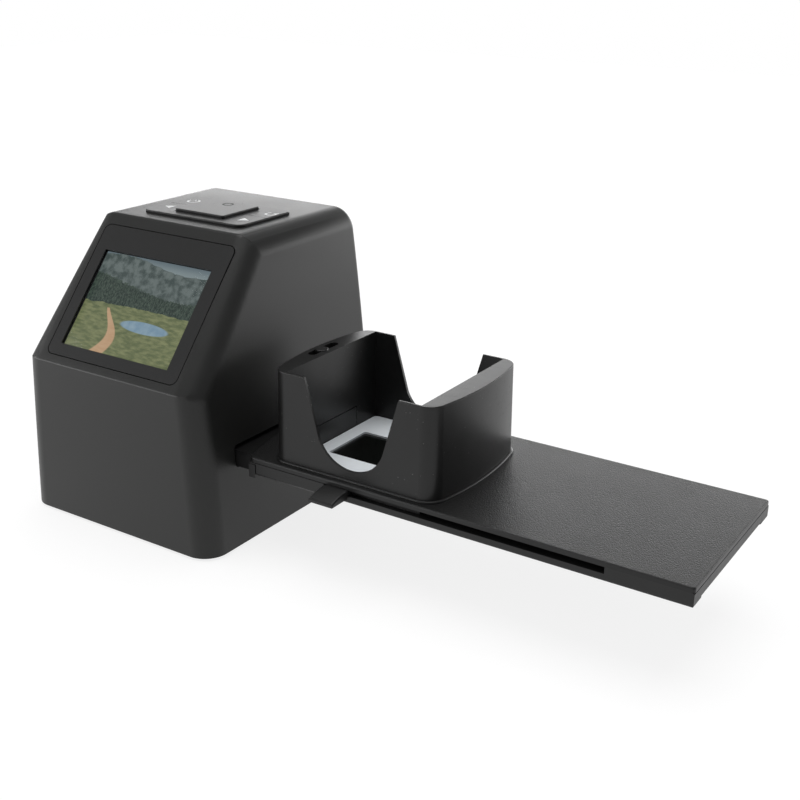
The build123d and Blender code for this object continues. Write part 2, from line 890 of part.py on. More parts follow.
with BuildPart() as image_sensor:
    with Locations((gate_x, feed_y, main_board_low)):
        Box(sensor_size, sensor_size, sensor_height, align=DOWN)
finish(image_sensor, "image_sensor")

# ---------------------------------------------------------------- main board

board_back = back_inner - main_board_back_gap
board_front = body_front + main_board_inset
socket_back = back_inner - socket_wall_gap
usb_end = socket_back + wall - usb_reach

with BuildPart() as main_board:
    slab(
        body_x - main_board_width / 2,
        body_x + main_board_width / 2,
        board_front,
        board_back,
        main_board_low,
        main_board_low + main_board_thickness,
    )
    for x, y in post_points:
        with Locations((x, y, main_board_low)):
            Cylinder(small_screw_radius + seat_gap, main_board_thickness, align=UP, mode=Mode.SUBTRACT)
finish(main_board, "main_board")

with BuildPart() as board_screws:
    for x, y in post_points:
        with Locations((x, y, main_board_low + main_board_thickness)):
            Cylinder(small_head_radius, small_head_height, align=UP)
        with Locations((x, y, main_board_low + main_board_thickness)):
            Cylinder(
                small_screw_radius, main_board_thickness + small_screw_length - screw_end_gap, align=DOWN
            )
finish(board_screws, "board_screws")

with BuildPart() as board_chips:
    with Locations((gate_x, feed_y, socket_low)):
        Box(processor_size, processor_size, chip_height, align=UP)
    slab(
        body_x - main_board_width / 2 + chip_inset,
        body_x - main_board_width / 2 + chip_inset + memory_width,
        board_front + chip_inset,
        board_front + chip_inset + memory_depth,
        socket_low,
        socket_low + chip_height,
    )
finish(board_chips, "board_chips")

with BuildPart() as card_socket:
    slab(
        body_x - socket_x - card_socket_width / 2,
        body_x - socket_x + card_socket_width / 2,
        socket_back - card_socket_depth,
        socket_back,
        socket_low,
        socket_low + card_socket_height,
    )
    slab(
        body_x - socket_x - card_mouth_width / 2 + mouth_gap,
        body_x - socket_x + card_mouth_width / 2 - mouth_gap,
        socket_back - card_socket_depth + card_end,
        socket_back,
        socket_low + socket_shell,
        socket_low + card_socket_height - socket_shell,
        Mode.SUBTRACT,
    )
finish(card_socket, "card_socket")

with BuildPart() as usb_socket:
    slab(
        body_x + usb_x - usb_width / 2,
        body_x + usb_x + usb_width / 2,
        usb_end - usb_depth,
        usb_end,
        socket_low,
        socket_low + usb_height,
    )
    slab(
        body_x + usb_x - usb_width / 2 + socket_shell,
        body_x + usb_x + usb_width / 2 - socket_shell,
        usb_end - usb_depth + usb_back,
        usb_end,
        socket_low + socket_shell,
        socket_low + usb_height - socket_shell,
        Mode.SUBTRACT,
    )
    slab(
        body_x + usb_x - usb_width / 2 + usb_tongue_inset,
        body_x + usb_x + usb_width / 2 - usb_tongue_inset,
        usb_end - usb_depth + usb_back / 2,
        usb_end - usb_back,
        socket_low + usb_height / 2 - usb_tongue / 2,
        socket_low + usb_height / 2 + usb_tongue / 2,
    )
finish(usb_socket, "usb_socket")

# ---------------------------------------------------------------- feed tray

tab_x = hopper_x - tab_from_hopper
notch_left = tab_x - tab_width / 2 - notch_start_gap
notch_right = tab_x + tab_width / 2 + stroke + notch_end_gap
front_rib_end = hopper_x - bar_from_hopper / 2 - bar_step
screw_row = tray_back - tray_wall - tray_post_radius - tray_post_gap
tray_screw_points = [
    (tray_left + tray_post_inset, screw_row),
    ((tray_left + tray_right) / 2, screw_row),
    (tray_right - tray_post_inset, screw_row),
    (tray_right - tray_post_inset, feed_y - slide_size / 2 + 2 * tray_post_radius),
]


def tray_plan():
    """The wide part's plan: straight at the front, the right and the back, bowed at the left."""
    with BuildSketch() as plan:
        with BuildLine():
            Polyline(
                (tray_left, tray_front), (tray_right, tray_front), (tray_right, tray_back), (tray_left, tray_back)
            )
            ThreePointArc((tray_left, tray_back), (tray_left - end_bow, tray_y), (tray_left, tray_front))
        make_face()
    return plan.sketch


with BuildPart() as tray_base:
    # wide part
    with BuildSketch(Plane.XY.offset(tray_bottom)):
        add(tray_plan())
    extrude(amount=cover_low - tray_bottom)
    fillet(tray_base.edges().group_by(Axis.Z)[0], tray_edge)
    # neck that goes into the housing
    slab(neck_left, tray_left + tray_wall, neck_front, neck_back, tray_bottom, cover_low)
    # channel of the slides and the pusher
    slab(
        neck_left,
        tray_right - tray_wall,
        feed_y - guide_half,
        feed_y + guide_half,
        channel_low,
        cover_low,
        Mode.SUBTRACT,
    )
    # pusher's bar beside the channel, and the finger tab's way out at the front
    slab(
        front_rib_end,
        tray_right - tray_wall,
        tray_front + tray_wall,
        feed_y,
        channel_low,
        cover_low,
        Mode.SUBTRACT,
    )
    slab(notch_left, notch_right, tray_front - 1, feed_y, channel_low, cover_low, Mode.SUBTRACT)
    # hollow behind the channel
    slab(
        tray_left + tray_wall,
        tray_right - tray_wall,
        feed_y + guide_half + tray_wall,
        tray_back - tray_wall,
        channel_low,
        cover_low,
        Mode.SUBTRACT,
    )
    # underside between the skids
    slab(
        neck_left,
        tray_right,
        tray_front + skid_width,
        tray_back - skid_width,
        tray_bottom,
        tray_floor_low,
        Mode.SUBTRACT,
    )
    # stop across the underside at the left end, with a proud lug at each end
    stop_right = tray_left + stop_width
    slab(tray_left, stop_right, tray_front, tray_back, tray_bottom - stop_drop, tray_floor_low)
    for y_low, y_high in (
        (tray_front - stop_proud, tray_front + stop_depth),
        (tray_back - stop_depth, tray_back + stop_proud),
    ):
        slab(tray_left, stop_right, y_low, y_high, tray_bottom - stop_drop, tray_bottom + stop_height)
    # parting line under the cover: right end, back, and the front as far as the tab
    seam_low = cover_low - seam_height
    slab(tray_right - seam_depth, tray_right, tray_front, tray_back, seam_low, cover_low, Mode.SUBTRACT)
    slab(tray_left, tray_right, tray_back - seam_depth, tray_back, seam_low, cover_low, Mode.SUBTRACT)
    slab(tray_left, notch_left, tray_front, tray_front + seam_depth, seam_low, cover_low, Mode.SUBTRACT)
    # window under the camera
    with Locations((gate_x, feed_y, tray_bottom)):
        Box(gate_window, gate_window, cover_low - tray_bottom, align=UP, mode=Mode.SUBTRACT)
    for x, y in tray_screw_points:
        with Locations((x, y, tray_floor_low)):
            Cylinder(tray_post_radius, cover_low - tray_floor_low, align=UP)
    for x, y in tray_screw_points:
        with Locations((x, y, tray_bottom)):
            Cylinder(small_screw_radius + seat_gap, tray_thickness, align=UP, mode=Mode.SUBTRACT)
            Cylinder(
                small_head_radius + seat_gap,
                tray_floor_low - tray_bottom + small_head_height,
                align=UP,
                mode=Mode.SUBTRACT,
            )
finish(tray_base, "tray_base")

cover_pilot = cover_thickness - pilot_cap
with BuildPart() as tray_cover:
    with BuildSketch(Plane.XY.offset(cover_low)):
        add(tray_plan())
    extrude(amount=cover_thickness)
    fillet(tray_cover.edges().filter_by(Axis.Z).group_by(Axis.X)[0], cover_left_corner)
    fillet(tray_cover.edges().filter_by(Axis.Z).group_by(Axis.X)[-1], cover_right_corner)
    fillet(tray_cover.edges().group_by(Axis.Z)[-1], cover_round)
    slab(neck_left, tray_left + tray_wall, neck_front, neck_back, cover_low, neck_top)
    with Locations((hopper_x, feed_y, cover_low)):
        Box(2 * guide_half, 2 * guide_half, cover_thickness, align=UP, mode=Mode.SUBTRACT)
    with Locations((gate_x, feed_y, cover_low)):
        Box(gate_window, gate_window, cover_thickness, align=UP, mode=Mode.SUBTRACT)
    for x, y in tray_screw_points:
        with Locations((x, y, cover_low)):
            Cylinder(small_screw_radius + screw_fit, cover_pilot, align=UP, mode=Mode.SUBTRACT)
finish(tray_cover, "tray_cover")

tray_screw_low = tray_floor_low
with BuildPart() as tray_screws:
    for x, y in tray_screw_points:
        with Locations((x, y, tray_screw_low)):
            Cylinder(small_head_radius, small_head_height, align=UP)
            Cylinder(small_screw_radius, cover_low + cover_pilot - seat_gap - tray_screw_low, align=UP)
finish(tray_screws, "tray_screws")

# ---------------------------------------------------------------- hopper

hopper_half_y = guide_half + hopper_wall
hopper_half_x = guide_half + hopper_end + hopper_wall
hopper_plane = Plane(origin=(hopper_x, feed_y, tray_top), x_dir=(1, 0, 0), z_dir=(0, 0, 1))
hopper_front_plane = Plane(origin=(hopper_x, feed_y, tray_top), x_dir=(1, 0, 0), z_dir=(0, -1, 0))


def hopper_outline(grow):
    """The hopper's plan, offset outwards by grow: two flat sides and two bowed ends."""
    half_x = hopper_half_x + grow
    half_y = hopper_half_y + grow
    bulge = half_x + hopper_bulge
    with BuildSketch() as plan:
        with BuildLine():
            Line((-half_x, -half_y), (half_x, -half_y))
            ThreePointArc((half_x, -half_y), (bulge, 0), (half_x, half_y))
            Line((half_x, half_y), (-half_x, half_y))
            ThreePointArc((-half_x, half_y), (-bulge, 0), (-half_x, -half_y))
        make_face()
        fillet(plan.vertices(), hopper_corner + grow)
    return plan.sketch


with BuildPart() as hopper_bead:
    with BuildSketch(hopper_plane):
        add(hopper_outline(bead_width))
    extrude(amount=bead_height)
    fillet(hopper_bead.edges().group_by(Axis.Z)[-1], bead_round)

with BuildPart() as slide_hopper:
    with BuildSketch(hopper_plane):
        add(hopper_outline(0))
    extrude(amount=hopper_height, taper=hopper_draft)
    fillet(slide_hopper.edges().group_by(Axis.Z)[-1], hopper_edge)
    add(hopper_bead.part)
    # hollow ends, open below
    with BuildSketch(hopper_plane):
        add(hopper_outline(-hopper_wall))
        Rectangle(2 * (guide_half + hopper_wall), 2 * hopper_half_x, mode=Mode.SUBTRACT)
    extrude(amount=hopper_height - hopper_cap, taper=hopper_draft, mode=Mode.SUBTRACT)
    # well for the slides
    with BuildSketch(hopper_plane):
        Rectangle(2 * guide_half, 2 * guide_half)
    extrude(amount=hopper_height, mode=Mode.SUBTRACT)
    # finger notches in the front and the back
    with BuildSketch(hopper_front_plane):
        with BuildLine():
            Line((-notch_top_half, hopper_height), (-notch_low_half, notch_low_height))
            ThreePointArc(
                (-notch_low_half, notch_low_height), (0, notch_bottom_height), (notch_low_half, notch_low_height)
            )
            Line((notch_low_half, notch_low_height), (notch_top_half, hopper_height))
            Line((notch_top_half, hopper_height), (-notch_top_half, hopper_height))
        make_face()
    extrude(amount=hopper_half_y * 2, both=True, mode=Mode.SUBTRACT)
    # slot in the left cap
    with BuildSketch(hopper_plane.offset(hopper_height)):
        with Locations((-guide_half - cap_slot_offset, 0)):
            SlotOverall(cap_slot_length, cap_slot_width, rotation=90)
        with Locations((-guide_half - cap_slot_offset, cap_post_shift)):
            Circle(cap_post_radius, mode=Mode.SUBTRACT)
    extrude(amount=-hopper_cap, mode=Mode.SUBTRACT)
    # post in the slot, a little proud of the cap
    with BuildSketch(hopper_plane.offset(hopper_height)):
        with Locations((-guide_half - cap_slot_offset, cap_post_shift)):
            Circle(cap_post_radius)
    extrude(amount=cap_post_height)
    fillet(slide_hopper.edges().group_by(Axis.Z)[-1], cap_post_round)
    # opening of the hatch at the foot of the left inner wall
    with Locations((hopper_x - guide_half - hopper_wall / 2, feed_y, tray_top)):
        Box(
            hopper_wall + 2 * screw_fit,
            hatch_width + 2 * hatch_gap,
            hatch_height + hatch_gap,
            align=UP,
            mode=Mode.SUBTRACT,
        )
finish(slide_hopper, "slide_hopper")

with BuildPart() as hopper_hatch:
    with Locations((hopper_x - guide_half - hopper_wall / 2, feed_y, tray_top)):
        Box(hopper_wall, hatch_width, hatch_height, align=UP)
finish(hopper_hatch, "hopper_hatch")

# ---------------------------------------------------------------- pusher

pusher_left = gate_x + slide_size / 2 + pusher_side_gap
pusher_right = hopper_x + pusher_tail
pusher_half = guide_half - pusher_side_gap
bar_front = feed_y - pusher_half - bar_width
bar_left = hopper_x - bar_from_hopper / 2
bar_right = hopper_x + bar_from_hopper
tab_outer = tray_front - tab_reach
tab_low = pusher_low - tab_drop
tab_root = cover_low - tab_gap
tab_inner = tray_front - tab_clearance
tab_tip_top = tab_low + tab_tip

with BuildPart() as finger_tab:
    with BuildSketch(Plane.YZ.offset(tab_x)):
        with BuildLine():
            Line((bar_front + 1, pusher_low), (bar_front + 1, tab_root))
            Line((bar_front + 1, tab_root), (tab_inner, tab_root))
            ThreePointArc(
                (tab_inner, tab_root),
                ((tab_inner + tab_outer) / 2, (tab_root + tab_tip_top) / 2 + tab_crown),
                (tab_outer + tab_nose, tab_tip_top),
            )
            Polyline(
                (tab_outer + tab_nose, tab_tip_top),
                (tab_outer, tab_tip_top - tab_nose),
                (tab_outer, tab_low),
                (tab_inner, tab_low),
                (tab_inner, pusher_low),
                (bar_front + 1, pusher_low),
            )
        make_face()
    extrude(amount=tab_width / 2, both=True)
    crown = [e for e in finger_tab.edges().filter_by(GeomType.CIRCLE) if abs((e @ 0 - e @ 1).X) < seat_gap]
    fillet(crown, tab_side_round)

with BuildPart() as pusher:
    slab(pusher_left, pusher_right, feed_y - pusher_half, feed_y + pusher_half, pusher_low, pusher_top)
    slab(bar_left, bar_right, bar_front, feed_y - pusher_half + 1, pusher_low, pusher_top - bar_step)
    slab(bar_right - lug_length, bar_right, bar_front, feed_y - pusher_half, pusher_low, pusher_top)
    slab(pusher_right - 1, bar_right, feed_y - pusher_half, feed_y - pusher_half + 2, pusher_low, pusher_top)
    add(finger_tab.part)
finish(pusher, "pusher")

# ---------------------------------------------------------------- slide

film_z = slide_low + slide_thickness / 2
with BuildPart() as slide_mount:
    with BuildSketch(Plane.XY.offset(slide_low)):
        with Locations((hopper_x, feed_y)):
            RectangleRounded(slide_size, slide_size, slide_corner)
            RectangleRounded(film_width, film_height, film_corner, mode=Mode.SUBTRACT)
    extrude(amount=slide_thickness)
    with Locations((hopper_x, feed_y, film_z)):
        Box(
            film_width + 2 * film_edge + 2 * seat_gap,
            film_height + 2 * film_edge + 2 * seat_gap,
            film_thickness + 2 * screw_fit,
            mode=Mode.SUBTRACT,
        )
finish(slide_mount, "slide_mount")

with BuildPart() as slide_film:
    with Locations((hopper_x, feed_y, film_z)):
        Box(film_width + 2 * film_edge, film_height + 2 * film_edge, film_thickness)
finish(slide_film, "slide_film")
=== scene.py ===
"""Studio scene of a film scanner with a quick-feed slide tray.

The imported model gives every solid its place. This script dresses the solids with
procedural finishes, adds the fine pieces that the solids leave out (the marks on the
keys, the ring round the status light, the housing's softened creases and the display's
clear cover) and sets up the camera, the floor and the light.

Lengths are metres in the model's own frame unless a name says otherwise.
"""

import logging
import math
from dataclasses import dataclass, field
from enum import Enum
from typing import Any, Sequence

import bmesh
import bpy
from mathutils import Matrix, Vector


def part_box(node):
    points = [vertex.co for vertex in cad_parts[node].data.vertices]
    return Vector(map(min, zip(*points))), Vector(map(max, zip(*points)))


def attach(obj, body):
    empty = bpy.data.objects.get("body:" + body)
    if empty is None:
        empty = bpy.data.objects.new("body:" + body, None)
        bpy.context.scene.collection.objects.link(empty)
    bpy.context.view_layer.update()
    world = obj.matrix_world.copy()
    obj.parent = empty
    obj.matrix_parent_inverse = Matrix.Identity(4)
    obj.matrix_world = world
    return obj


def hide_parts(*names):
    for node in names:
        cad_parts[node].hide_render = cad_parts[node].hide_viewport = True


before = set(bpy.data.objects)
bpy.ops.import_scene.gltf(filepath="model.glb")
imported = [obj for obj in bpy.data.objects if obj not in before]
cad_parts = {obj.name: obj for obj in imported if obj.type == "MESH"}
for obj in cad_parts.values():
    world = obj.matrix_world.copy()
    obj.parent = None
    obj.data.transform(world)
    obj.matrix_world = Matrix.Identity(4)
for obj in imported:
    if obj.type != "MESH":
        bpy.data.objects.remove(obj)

log = logging.getLogger("scanner")

MM = 0.001
Colour = tuple[float, float, float]
Corners = tuple[Vector, Vector]

# The housing's profile in millimetres: the bend across the front, the brow at the
# top's front edge, and how far back the screen's slope runs between them.
BEND_MM, BROW_MM, SLOPE_RUN_MM = 56.8, 101.6, 37.8
SLOPE = math.atan2(BROW_MM - BEND_MM, SLOPE_RUN_MM)

# The least angle at which an edge counts as sharp, the greatest that is still shaded
# smooth, and the greatest at which two faces count as one flat area.
SHARP, SMOOTH, FLAT = math.radians(30), math.radians(32), math.radians(0.4)

# How the dust on the plastics looks, and how quickly a spot's edge fades.
DUST: Colour = (0.35, 0.35, 0.34)
SPOT_EDGE = 0.02


# ------------------------------------------------------------------ shader maths


class Value:
    """A number socket of a shader, with the arithmetic that the finishes use."""

    def __init__(self, shader: "Shader", socket: Any) -> None:
        """Wraps a socket.

        Args:
            shader: The shader that owns the socket.
            socket: An output socket that carries one number.
        """
        self.shader = shader
        self.socket = socket

    def _maths(self, operation: str, *operands: Any) -> "Value":
        """Adds one Math node.

        Args:
            operation: The Math node's operation.
            operands: Numbers or Values for its inputs.

        Returns:
            The node's result.
        """
        made = self.shader.node("ShaderNodeMath", dict(enumerate(operands)), operation=operation)
        return Value(self.shader, made.outputs[0])

    def __add__(self, other: Any) -> "Value":
        """self + other."""
        return self._maths("ADD", self, other)

    __radd__ = __add__

    def __sub__(self, other: Any) -> "Value":
        """self - other."""
        return self._maths("SUBTRACT", self, other)

    def __rsub__(self, other: Any) -> "Value":
        """other - self."""
        return self._maths("SUBTRACT", other, self)

    def __mul__(self, other: Any) -> "Value":
        """self * other."""
        return self._maths("MULTIPLY", self, other)

    __rmul__ = __mul__

    def __truediv__(self, other: Any) -> "Value":
        """self / other."""
        return self._maths("DIVIDE", self, other)

    def __lt__(self, other: Any) -> "Value":
        """1 where self is less than other, otherwise 0."""
        return self._maths("LESS_THAN", self, other)

    def __gt__(self, other: Any) -> "Value":
        """1 where self is greater than other, otherwise 0."""
        return self._maths("GREATER_THAN", self, other)

    def __abs__(self) -> "Value":
        """The size of self."""
        return self._maths("ABSOLUTE", self)

    def larger(self, other: Any) -> "Value":
        """The larger of self and other."""
        return self._maths("MAXIMUM", self, other)

    def sine(self) -> "Value":
        """The sine of self, in radians."""
        return self._maths("SINE", self)

    def step(self, low: float, high: float) -> "Value":
        """A smooth step from 0 at low to 1 at high.

        Args:
            low: The value that gives 0.
            high: The value that gives 1.

        Returns:
            The stepped value.
        """
        inputs = {0: self, 1: low, 2: high, 3: 0.0, 4: 1.0}
        made = self.shader.node(
            "ShaderNodeMapRange", inputs, interpolation_type="SMOOTHSTEP", clamp=True
        )
        return Value(self.shader, made.outputs[0])

    def inside(self, half_width: float, soft: float) -> "Value":
        """1 where self lies within half_width of 0, falling off over soft."""
        return 1 - abs(self).step(half_width - soft, half_width)


class Shader:
    """A material's node tree with one Principled surface."""

    def __init__(self, name: str) -> None:
        """Makes an empty material.

        Args:
            name: The material's name.
        """
        self.material = bpy.data.materials.new(name)
        self.material.use_nodes = True
        self.tree = self.material.node_tree
        self.tree.nodes.clear()
        self.surface = self.node("ShaderNodeBsdfPrincipled", {})
        output = self.node("ShaderNodeOutputMaterial", {})
        self.tree.links.new(self.surface.outputs[0], output.inputs[0])
        self.output = output

    def node(self, kind: str, inputs: dict[Any, Any], **settings: Any) -> Any:
        """Adds a node.

        Args:
            kind: The node's type.
            inputs: What goes into its sockets, by name or index: Values, sockets or plain numbers.
            settings: The node's own options, which are set before its sockets.

        Returns:
            The node.
        """
        made = self.tree.nodes.new(kind)
        for option, choice in settings.items():
            setattr(made, option, choice)
        for key, item in inputs.items():
            self.join(item, made.inputs[key])
        return made

    def join(self, item: Any, socket: Any) -> None:
        """Links a Value or a socket into a socket, or sets a plain value on it."""
        if isinstance(item, Value):
            self.tree.links.new(item.socket, socket)
        elif isinstance(item, bpy.types.NodeSocket):
            self.tree.links.new(item, socket)
        else:
            socket.default_value = item

    def set(self, **inputs: Any) -> None:
        """Sets sockets of the Principled surface, with underscores for spaces in their names."""
        for key, item in inputs.items():
            if isinstance(item, tuple) and len(item) == 3:
                item = (*item, 1.0)
            self.join(item, self.surface.inputs[key.replace("_", " ")])

    def place(self) -> Any:
        """The Object coordinates."""
        return self.node("ShaderNodeTexCoord", {}).outputs["Object"]

    def axes(self, vector: Any) -> tuple[Value, Value, Value]:
        """The three numbers of a vector."""
        parts = self.node("ShaderNodeSeparateXYZ", {0: vector})
        return tuple(Value(self, parts.outputs[i]) for i in range(3))

    def noise(self, grain: float, detail: float, stretch: Sequence[float] = (1, 1, 1)) -> Value:
        """Noise on Object coordinates.

        Args:
            grain: The size of a grain, in metres.
            detail: How many finer layers it has.
            stretch: How much longer a grain is along each axis.

        Returns:
            The noise, from 0 to 1.
        """
        scale = tuple(1 / (grain * part) for part in stretch)
        mapped = self.node("ShaderNodeMapping", {"Vector": self.place(), "Scale": scale})
        inputs = {"Vector": mapped.outputs[0], "Scale": 1.0, "Detail": detail}
        return Value(self, self.node("ShaderNodeTexNoise", inputs).outputs[0])

    def specks(self, spot: float, rarity: float, drift: float, bare: float) -> Value:
        """Dust: small spots that lie together in drifts.

        Args:
            spot: The size of the noise that the spots are cut from, in metres.
            rarity: The noise value above which there is a spot.
            drift: The size of a drift, in metres.
            bare: The noise value below which there is no drift.

        Returns:
            1 on a spot, otherwise 0.
        """
        spots = self.noise(spot, 0.0).step(rarity, rarity + SPOT_EDGE)
        return spots * self.noise(drift, 1.0).step(bare, 0.6)

    def cells(self, size: float) -> Value:
        """Distance to the nearest of scattered points, size apart, as a rounded pebble."""
        mapped = self.node("ShaderNodeMapping", {"Vector": self.place(), "Scale": (1 / size,) * 3})
        made = self.node(
            "ShaderNodeTexVoronoi",
            {"Vector": mapped.outputs[0], "Scale": 1.0, "Smoothness": 0.35},
            feature="SMOOTH_F1",
        )
        return Value(self, made.outputs[0])

    def blend(self, share: Any, first: Any, second: Any) -> Any:
        """Mixes two colours.

        Args:
            share: How much of the second, from 0 to 1.
            first: A colour or a colour socket.
            second: A colour or a colour socket.

        Returns:
            The mixed colour's socket.
        """
        made = self.node("ShaderNodeMix", {}, data_type="RGBA")
        for key, item in ((0, share), (6, first), (7, second)):
            if isinstance(item, tuple) and len(item) == 3:
                item = (*item, 1.0)
            self.join(item, made.inputs[key])
        return made.outputs[2]

    def bump(self, height: Value, depth: float) -> None:
        """Feeds a Bump of the given depth, in metres, into the surface's Normal."""
        made = self.node("ShaderNodeBump", {"Height": height, "Distance": depth, "Strength": 1.0})
        self.tree.links.new(made.outputs[0], self.surface.inputs["Normal"])


# ------------------------------------------------------------------ finishes


@dataclass(frozen=True)
class Finish:
    """Base of all finishes: one surface with its own colour and roughness."""

    name: str
    colour: Colour
    roughness: float
    specular: float = 0.35

    def build(self) -> bpy.types.Material:
        """Makes the material.

        Returns:
            The finished material.
        """
        shader = Shader(self.name)
        shader.set(Base_Color=self.colour, Roughness=self.roughness, Specular_IOR_Level=self.specular)
        self.dress(shader)
        return shader.material

    def dress(self, shader: Shader) -> None:
        """Adds what this finish has beyond its colour and roughness."""
        raise NotImplementedError

    def toned(self, share: float) -> Colour:
        """The finish's colour, darker or lighter by a share of itself."""
        return tuple(min(1.0, part * share) for part in self.colour)


@dataclass(frozen=True)
class MouldedPlastic(Finish):
    """Spark-eroded plastic: an even fine grain and faint handling marks."""

    grain: float = 0.22 * MM
    grain_depth: float = 0.012 * MM
    mottle: float = 0.12
    patch: float = 9 * MM
    patch_share: float = 0.6
    patch_sheen: float = 0.05
    grain_sheen: float = 0.04

    def dress(self, shader: Shader) -> None:
        """Adds the grain, the mottle and a slightly uneven sheen."""
        fine = shader.noise(self.grain, 1.0)
        broad = shader.noise(self.patch, 3.0)
        share = broad * self.patch_share + fine * (1 - self.patch_share)
        sheen = (broad - 0.5) * self.patch_sheen + (fine - 0.5) * self.grain_sheen
        shader.set(
            Base_Color=shader.blend(share, self.toned(1 - self.mottle), self.toned(1 + self.mottle)),
            Roughness=self.roughness + sheen,
        )
        shader.bump(fine, self.grain_depth)


@dataclass(frozen=True)
class KeyPlastic(MouldedPlastic):
    """Moulded plastic of a raised key, with painted shade round its foot, where the gap under its edge
    lies in shadow.
    """

    # Below the given height the colour is darkened and the surface made rougher: painted shade on the
    # key's sides.
    shade_height: float = 0.0
    shade_tone: float = 0.08
    shade_roughness: float = 0.75
    shade_edge: float = 0.12 * MM

    def dress(self, shader: Shader) -> None:
        """Paints shade on the key's sides below the given height, over the moulded surface."""
        super().dress(shader)
        _, _, z = shader.axes(shader.place())
        moulded = shader.surface.inputs["Base Color"].links[0].from_socket
        # The share of the moulded colour: 0 in the painted shade at the foot, 1 above it.
        share = z.step(self.shade_height, self.shade_height + self.shade_edge)
        shader.set(
            Base_Color=shader.blend(share, self.toned(self.shade_tone), moulded),
            Roughness=self.shade_roughness - share * (self.shade_roughness - self.roughness),
        )


@dataclass(frozen=True)
class PebbledPlastic(Finish):
    """Satin plastic whose upper face has a cast pebble, and whose sides are smooth."""

    top: float = 0.0
    smooth_drop: float = 0.35 * MM
    pebbled_drop: float = 0.1 * MM
    pebble: float = 0.45 * MM
    pebble_depth: float = 0.07 * MM
    pebble_tone: float = 0.6
    pebble_sheen: float = 0.03
    patch: float = 14 * MM
    patch_sheen: float = 0.06
    grain: float = 0.2 * MM
    grain_share: float = 0.12
    dust_share: float = 0.5
    dust: Colour = (0.30, 0.30, 0.29)

    def dress(self, shader: Shader) -> None:
        """Adds the pebble above the given height and a fine grain below it."""
        _, _, z = shader.axes(shader.place())
        upper = z.step(self.top - self.smooth_drop, self.top - self.pebbled_drop)
        pebble = 1 - shader.cells(self.pebble)
        fine = shader.noise(self.grain, 1.0)
        broad = shader.noise(self.patch, 3.0)
        base = shader.blend(pebble * upper, self.toned(self.pebble_tone), self.colour)
        dusty = shader.specks(0.4 * MM, 0.85, 9 * MM, 0.52) * self.dust_share
        shader.set(
            Base_Color=shader.blend(dusty, base, self.dust),
            Roughness=self.roughness + (broad - 0.5) * self.patch_sheen + upper * self.pebble_sheen,
        )
        shader.bump(pebble * upper + fine * self.grain_share, self.pebble_depth)


@dataclass(frozen=True)
class SatinPlastic(Finish):
    """Smooth moulded plastic with faint flow waves, dust specks and soft scuffs."""

    dust_share: float = 0.0
    wave: float = 6 * MM
    wave_tone: float = 0.2
    wave_height: float = 0.4
    scuff: float = 1.6 * MM
    sheen: float = 0.08
    grain: float = 0.25 * MM
    grain_height: float = 0.3
    depth: float = 0.012 * MM

    def dress(self, shader: Shader) -> None:
        """Adds the waves, the scuffs and the specks."""
        waves = shader.noise(self.wave, 2.0, (1, 1, 2.5))
        scuffs = shader.noise(self.scuff, 4.0, (3, 1, 1)).step(0.56, 0.8)
        base = shader.blend(waves, self.toned(1 - self.wave_tone), self.toned(1 + self.wave_tone))
        if self.dust_share:
            dusty = shader.specks(0.35 * MM, 0.84, 7 * MM, 0.5) * self.dust_share
            base = shader.blend(dusty, base, DUST)
        sheen = (waves - 0.5) * self.sheen + scuffs * self.sheen
        shader.set(Base_Color=base, Roughness=self.roughness + sheen)
        fine = shader.noise(self.grain, 1.0)
        shader.bump(waves * self.wave_height + fine * self.grain_height, self.depth)


@dataclass(frozen=True)
class BrushedMetal(Finish):
    """Plated or brushed steel with fine drawn lines."""

    line: float = 0.09 * MM
    line_sheen: float = 0.14
    line_depth: float = 0.006 * MM
    stain: float = 3 * MM
    stain_tone: float = 0.85

    def dress(self, shader: Shader) -> None:
        """Adds the lines and a metallic surface."""
        lines = shader.noise(self.line, 2.0, (14, 1, 1))
        stain = shader.noise(self.stain, 3.0)
        shader.set(
            Base_Color=shader.blend(stain, self.toned(self.stain_tone), self.colour),
            Metallic=1.0,
            Roughness=self.roughness + lines * self.line_sheen,
        )
        shader.bump(lines, self.line_depth)


@dataclass(frozen=True)
class Rubber(Finish):
    """Matt moulded rubber with a dusty bloom."""

    bloom: float = 2.2 * MM
    bloom_share: float = 0.5
    bloom_tone: float = 2.2
    bloom_sheen: float = 0.1
    skin: float = 0.3 * MM
    skin_depth: float = 0.03 * MM

    def dress(self, shader: Shader) -> None:
        """Adds the bloom and a coarse skin."""
        bloom = shader.noise(self.bloom, 4.0)
        shader.set(
            Base_Color=shader.blend(bloom * self.bloom_share, self.colour, self.toned(self.bloom_tone)),
            Roughness=self.roughness + bloom * self.bloom_sheen,
        )
        shader.bump(shader.noise(self.skin, 2.0), self.skin_depth)


@dataclass(frozen=True)
class BoardLaminate(Finish):
    """A circuit board: solder mask over faint square-running tracks."""

    pitch: float = 1.3 * MM
    track_tone: float = 1.9
    track_sheen: float = 0.06
    track_depth: float = 0.02 * MM

    def lines(self, place: Value) -> Value:
        """Parallel lines at the tracks' pitch, side by side along one axis."""
        return (place * (math.tau / self.pitch)).sine().step(0.55, 0.8)

    def dress(self, shader: Shader) -> None:
        """Adds the tracks as two crossed sets of lines, broken by noise."""
        x, y, _ = shader.axes(shader.place())
        along = self.lines(x) * shader.noise(5 * MM, 0.0).step(0.5, 0.52)
        across = self.lines(y) * (1 - shader.noise(6 * MM, 0.0).step(0.45, 0.47))
        tracks = along.larger(across)
        shader.set(
            Base_Color=shader.blend(tracks, self.colour, self.toned(self.track_tone)),
            Roughness=self.roughness + tracks * self.track_sheen,
        )
        shader.bump(tracks, self.track_depth)


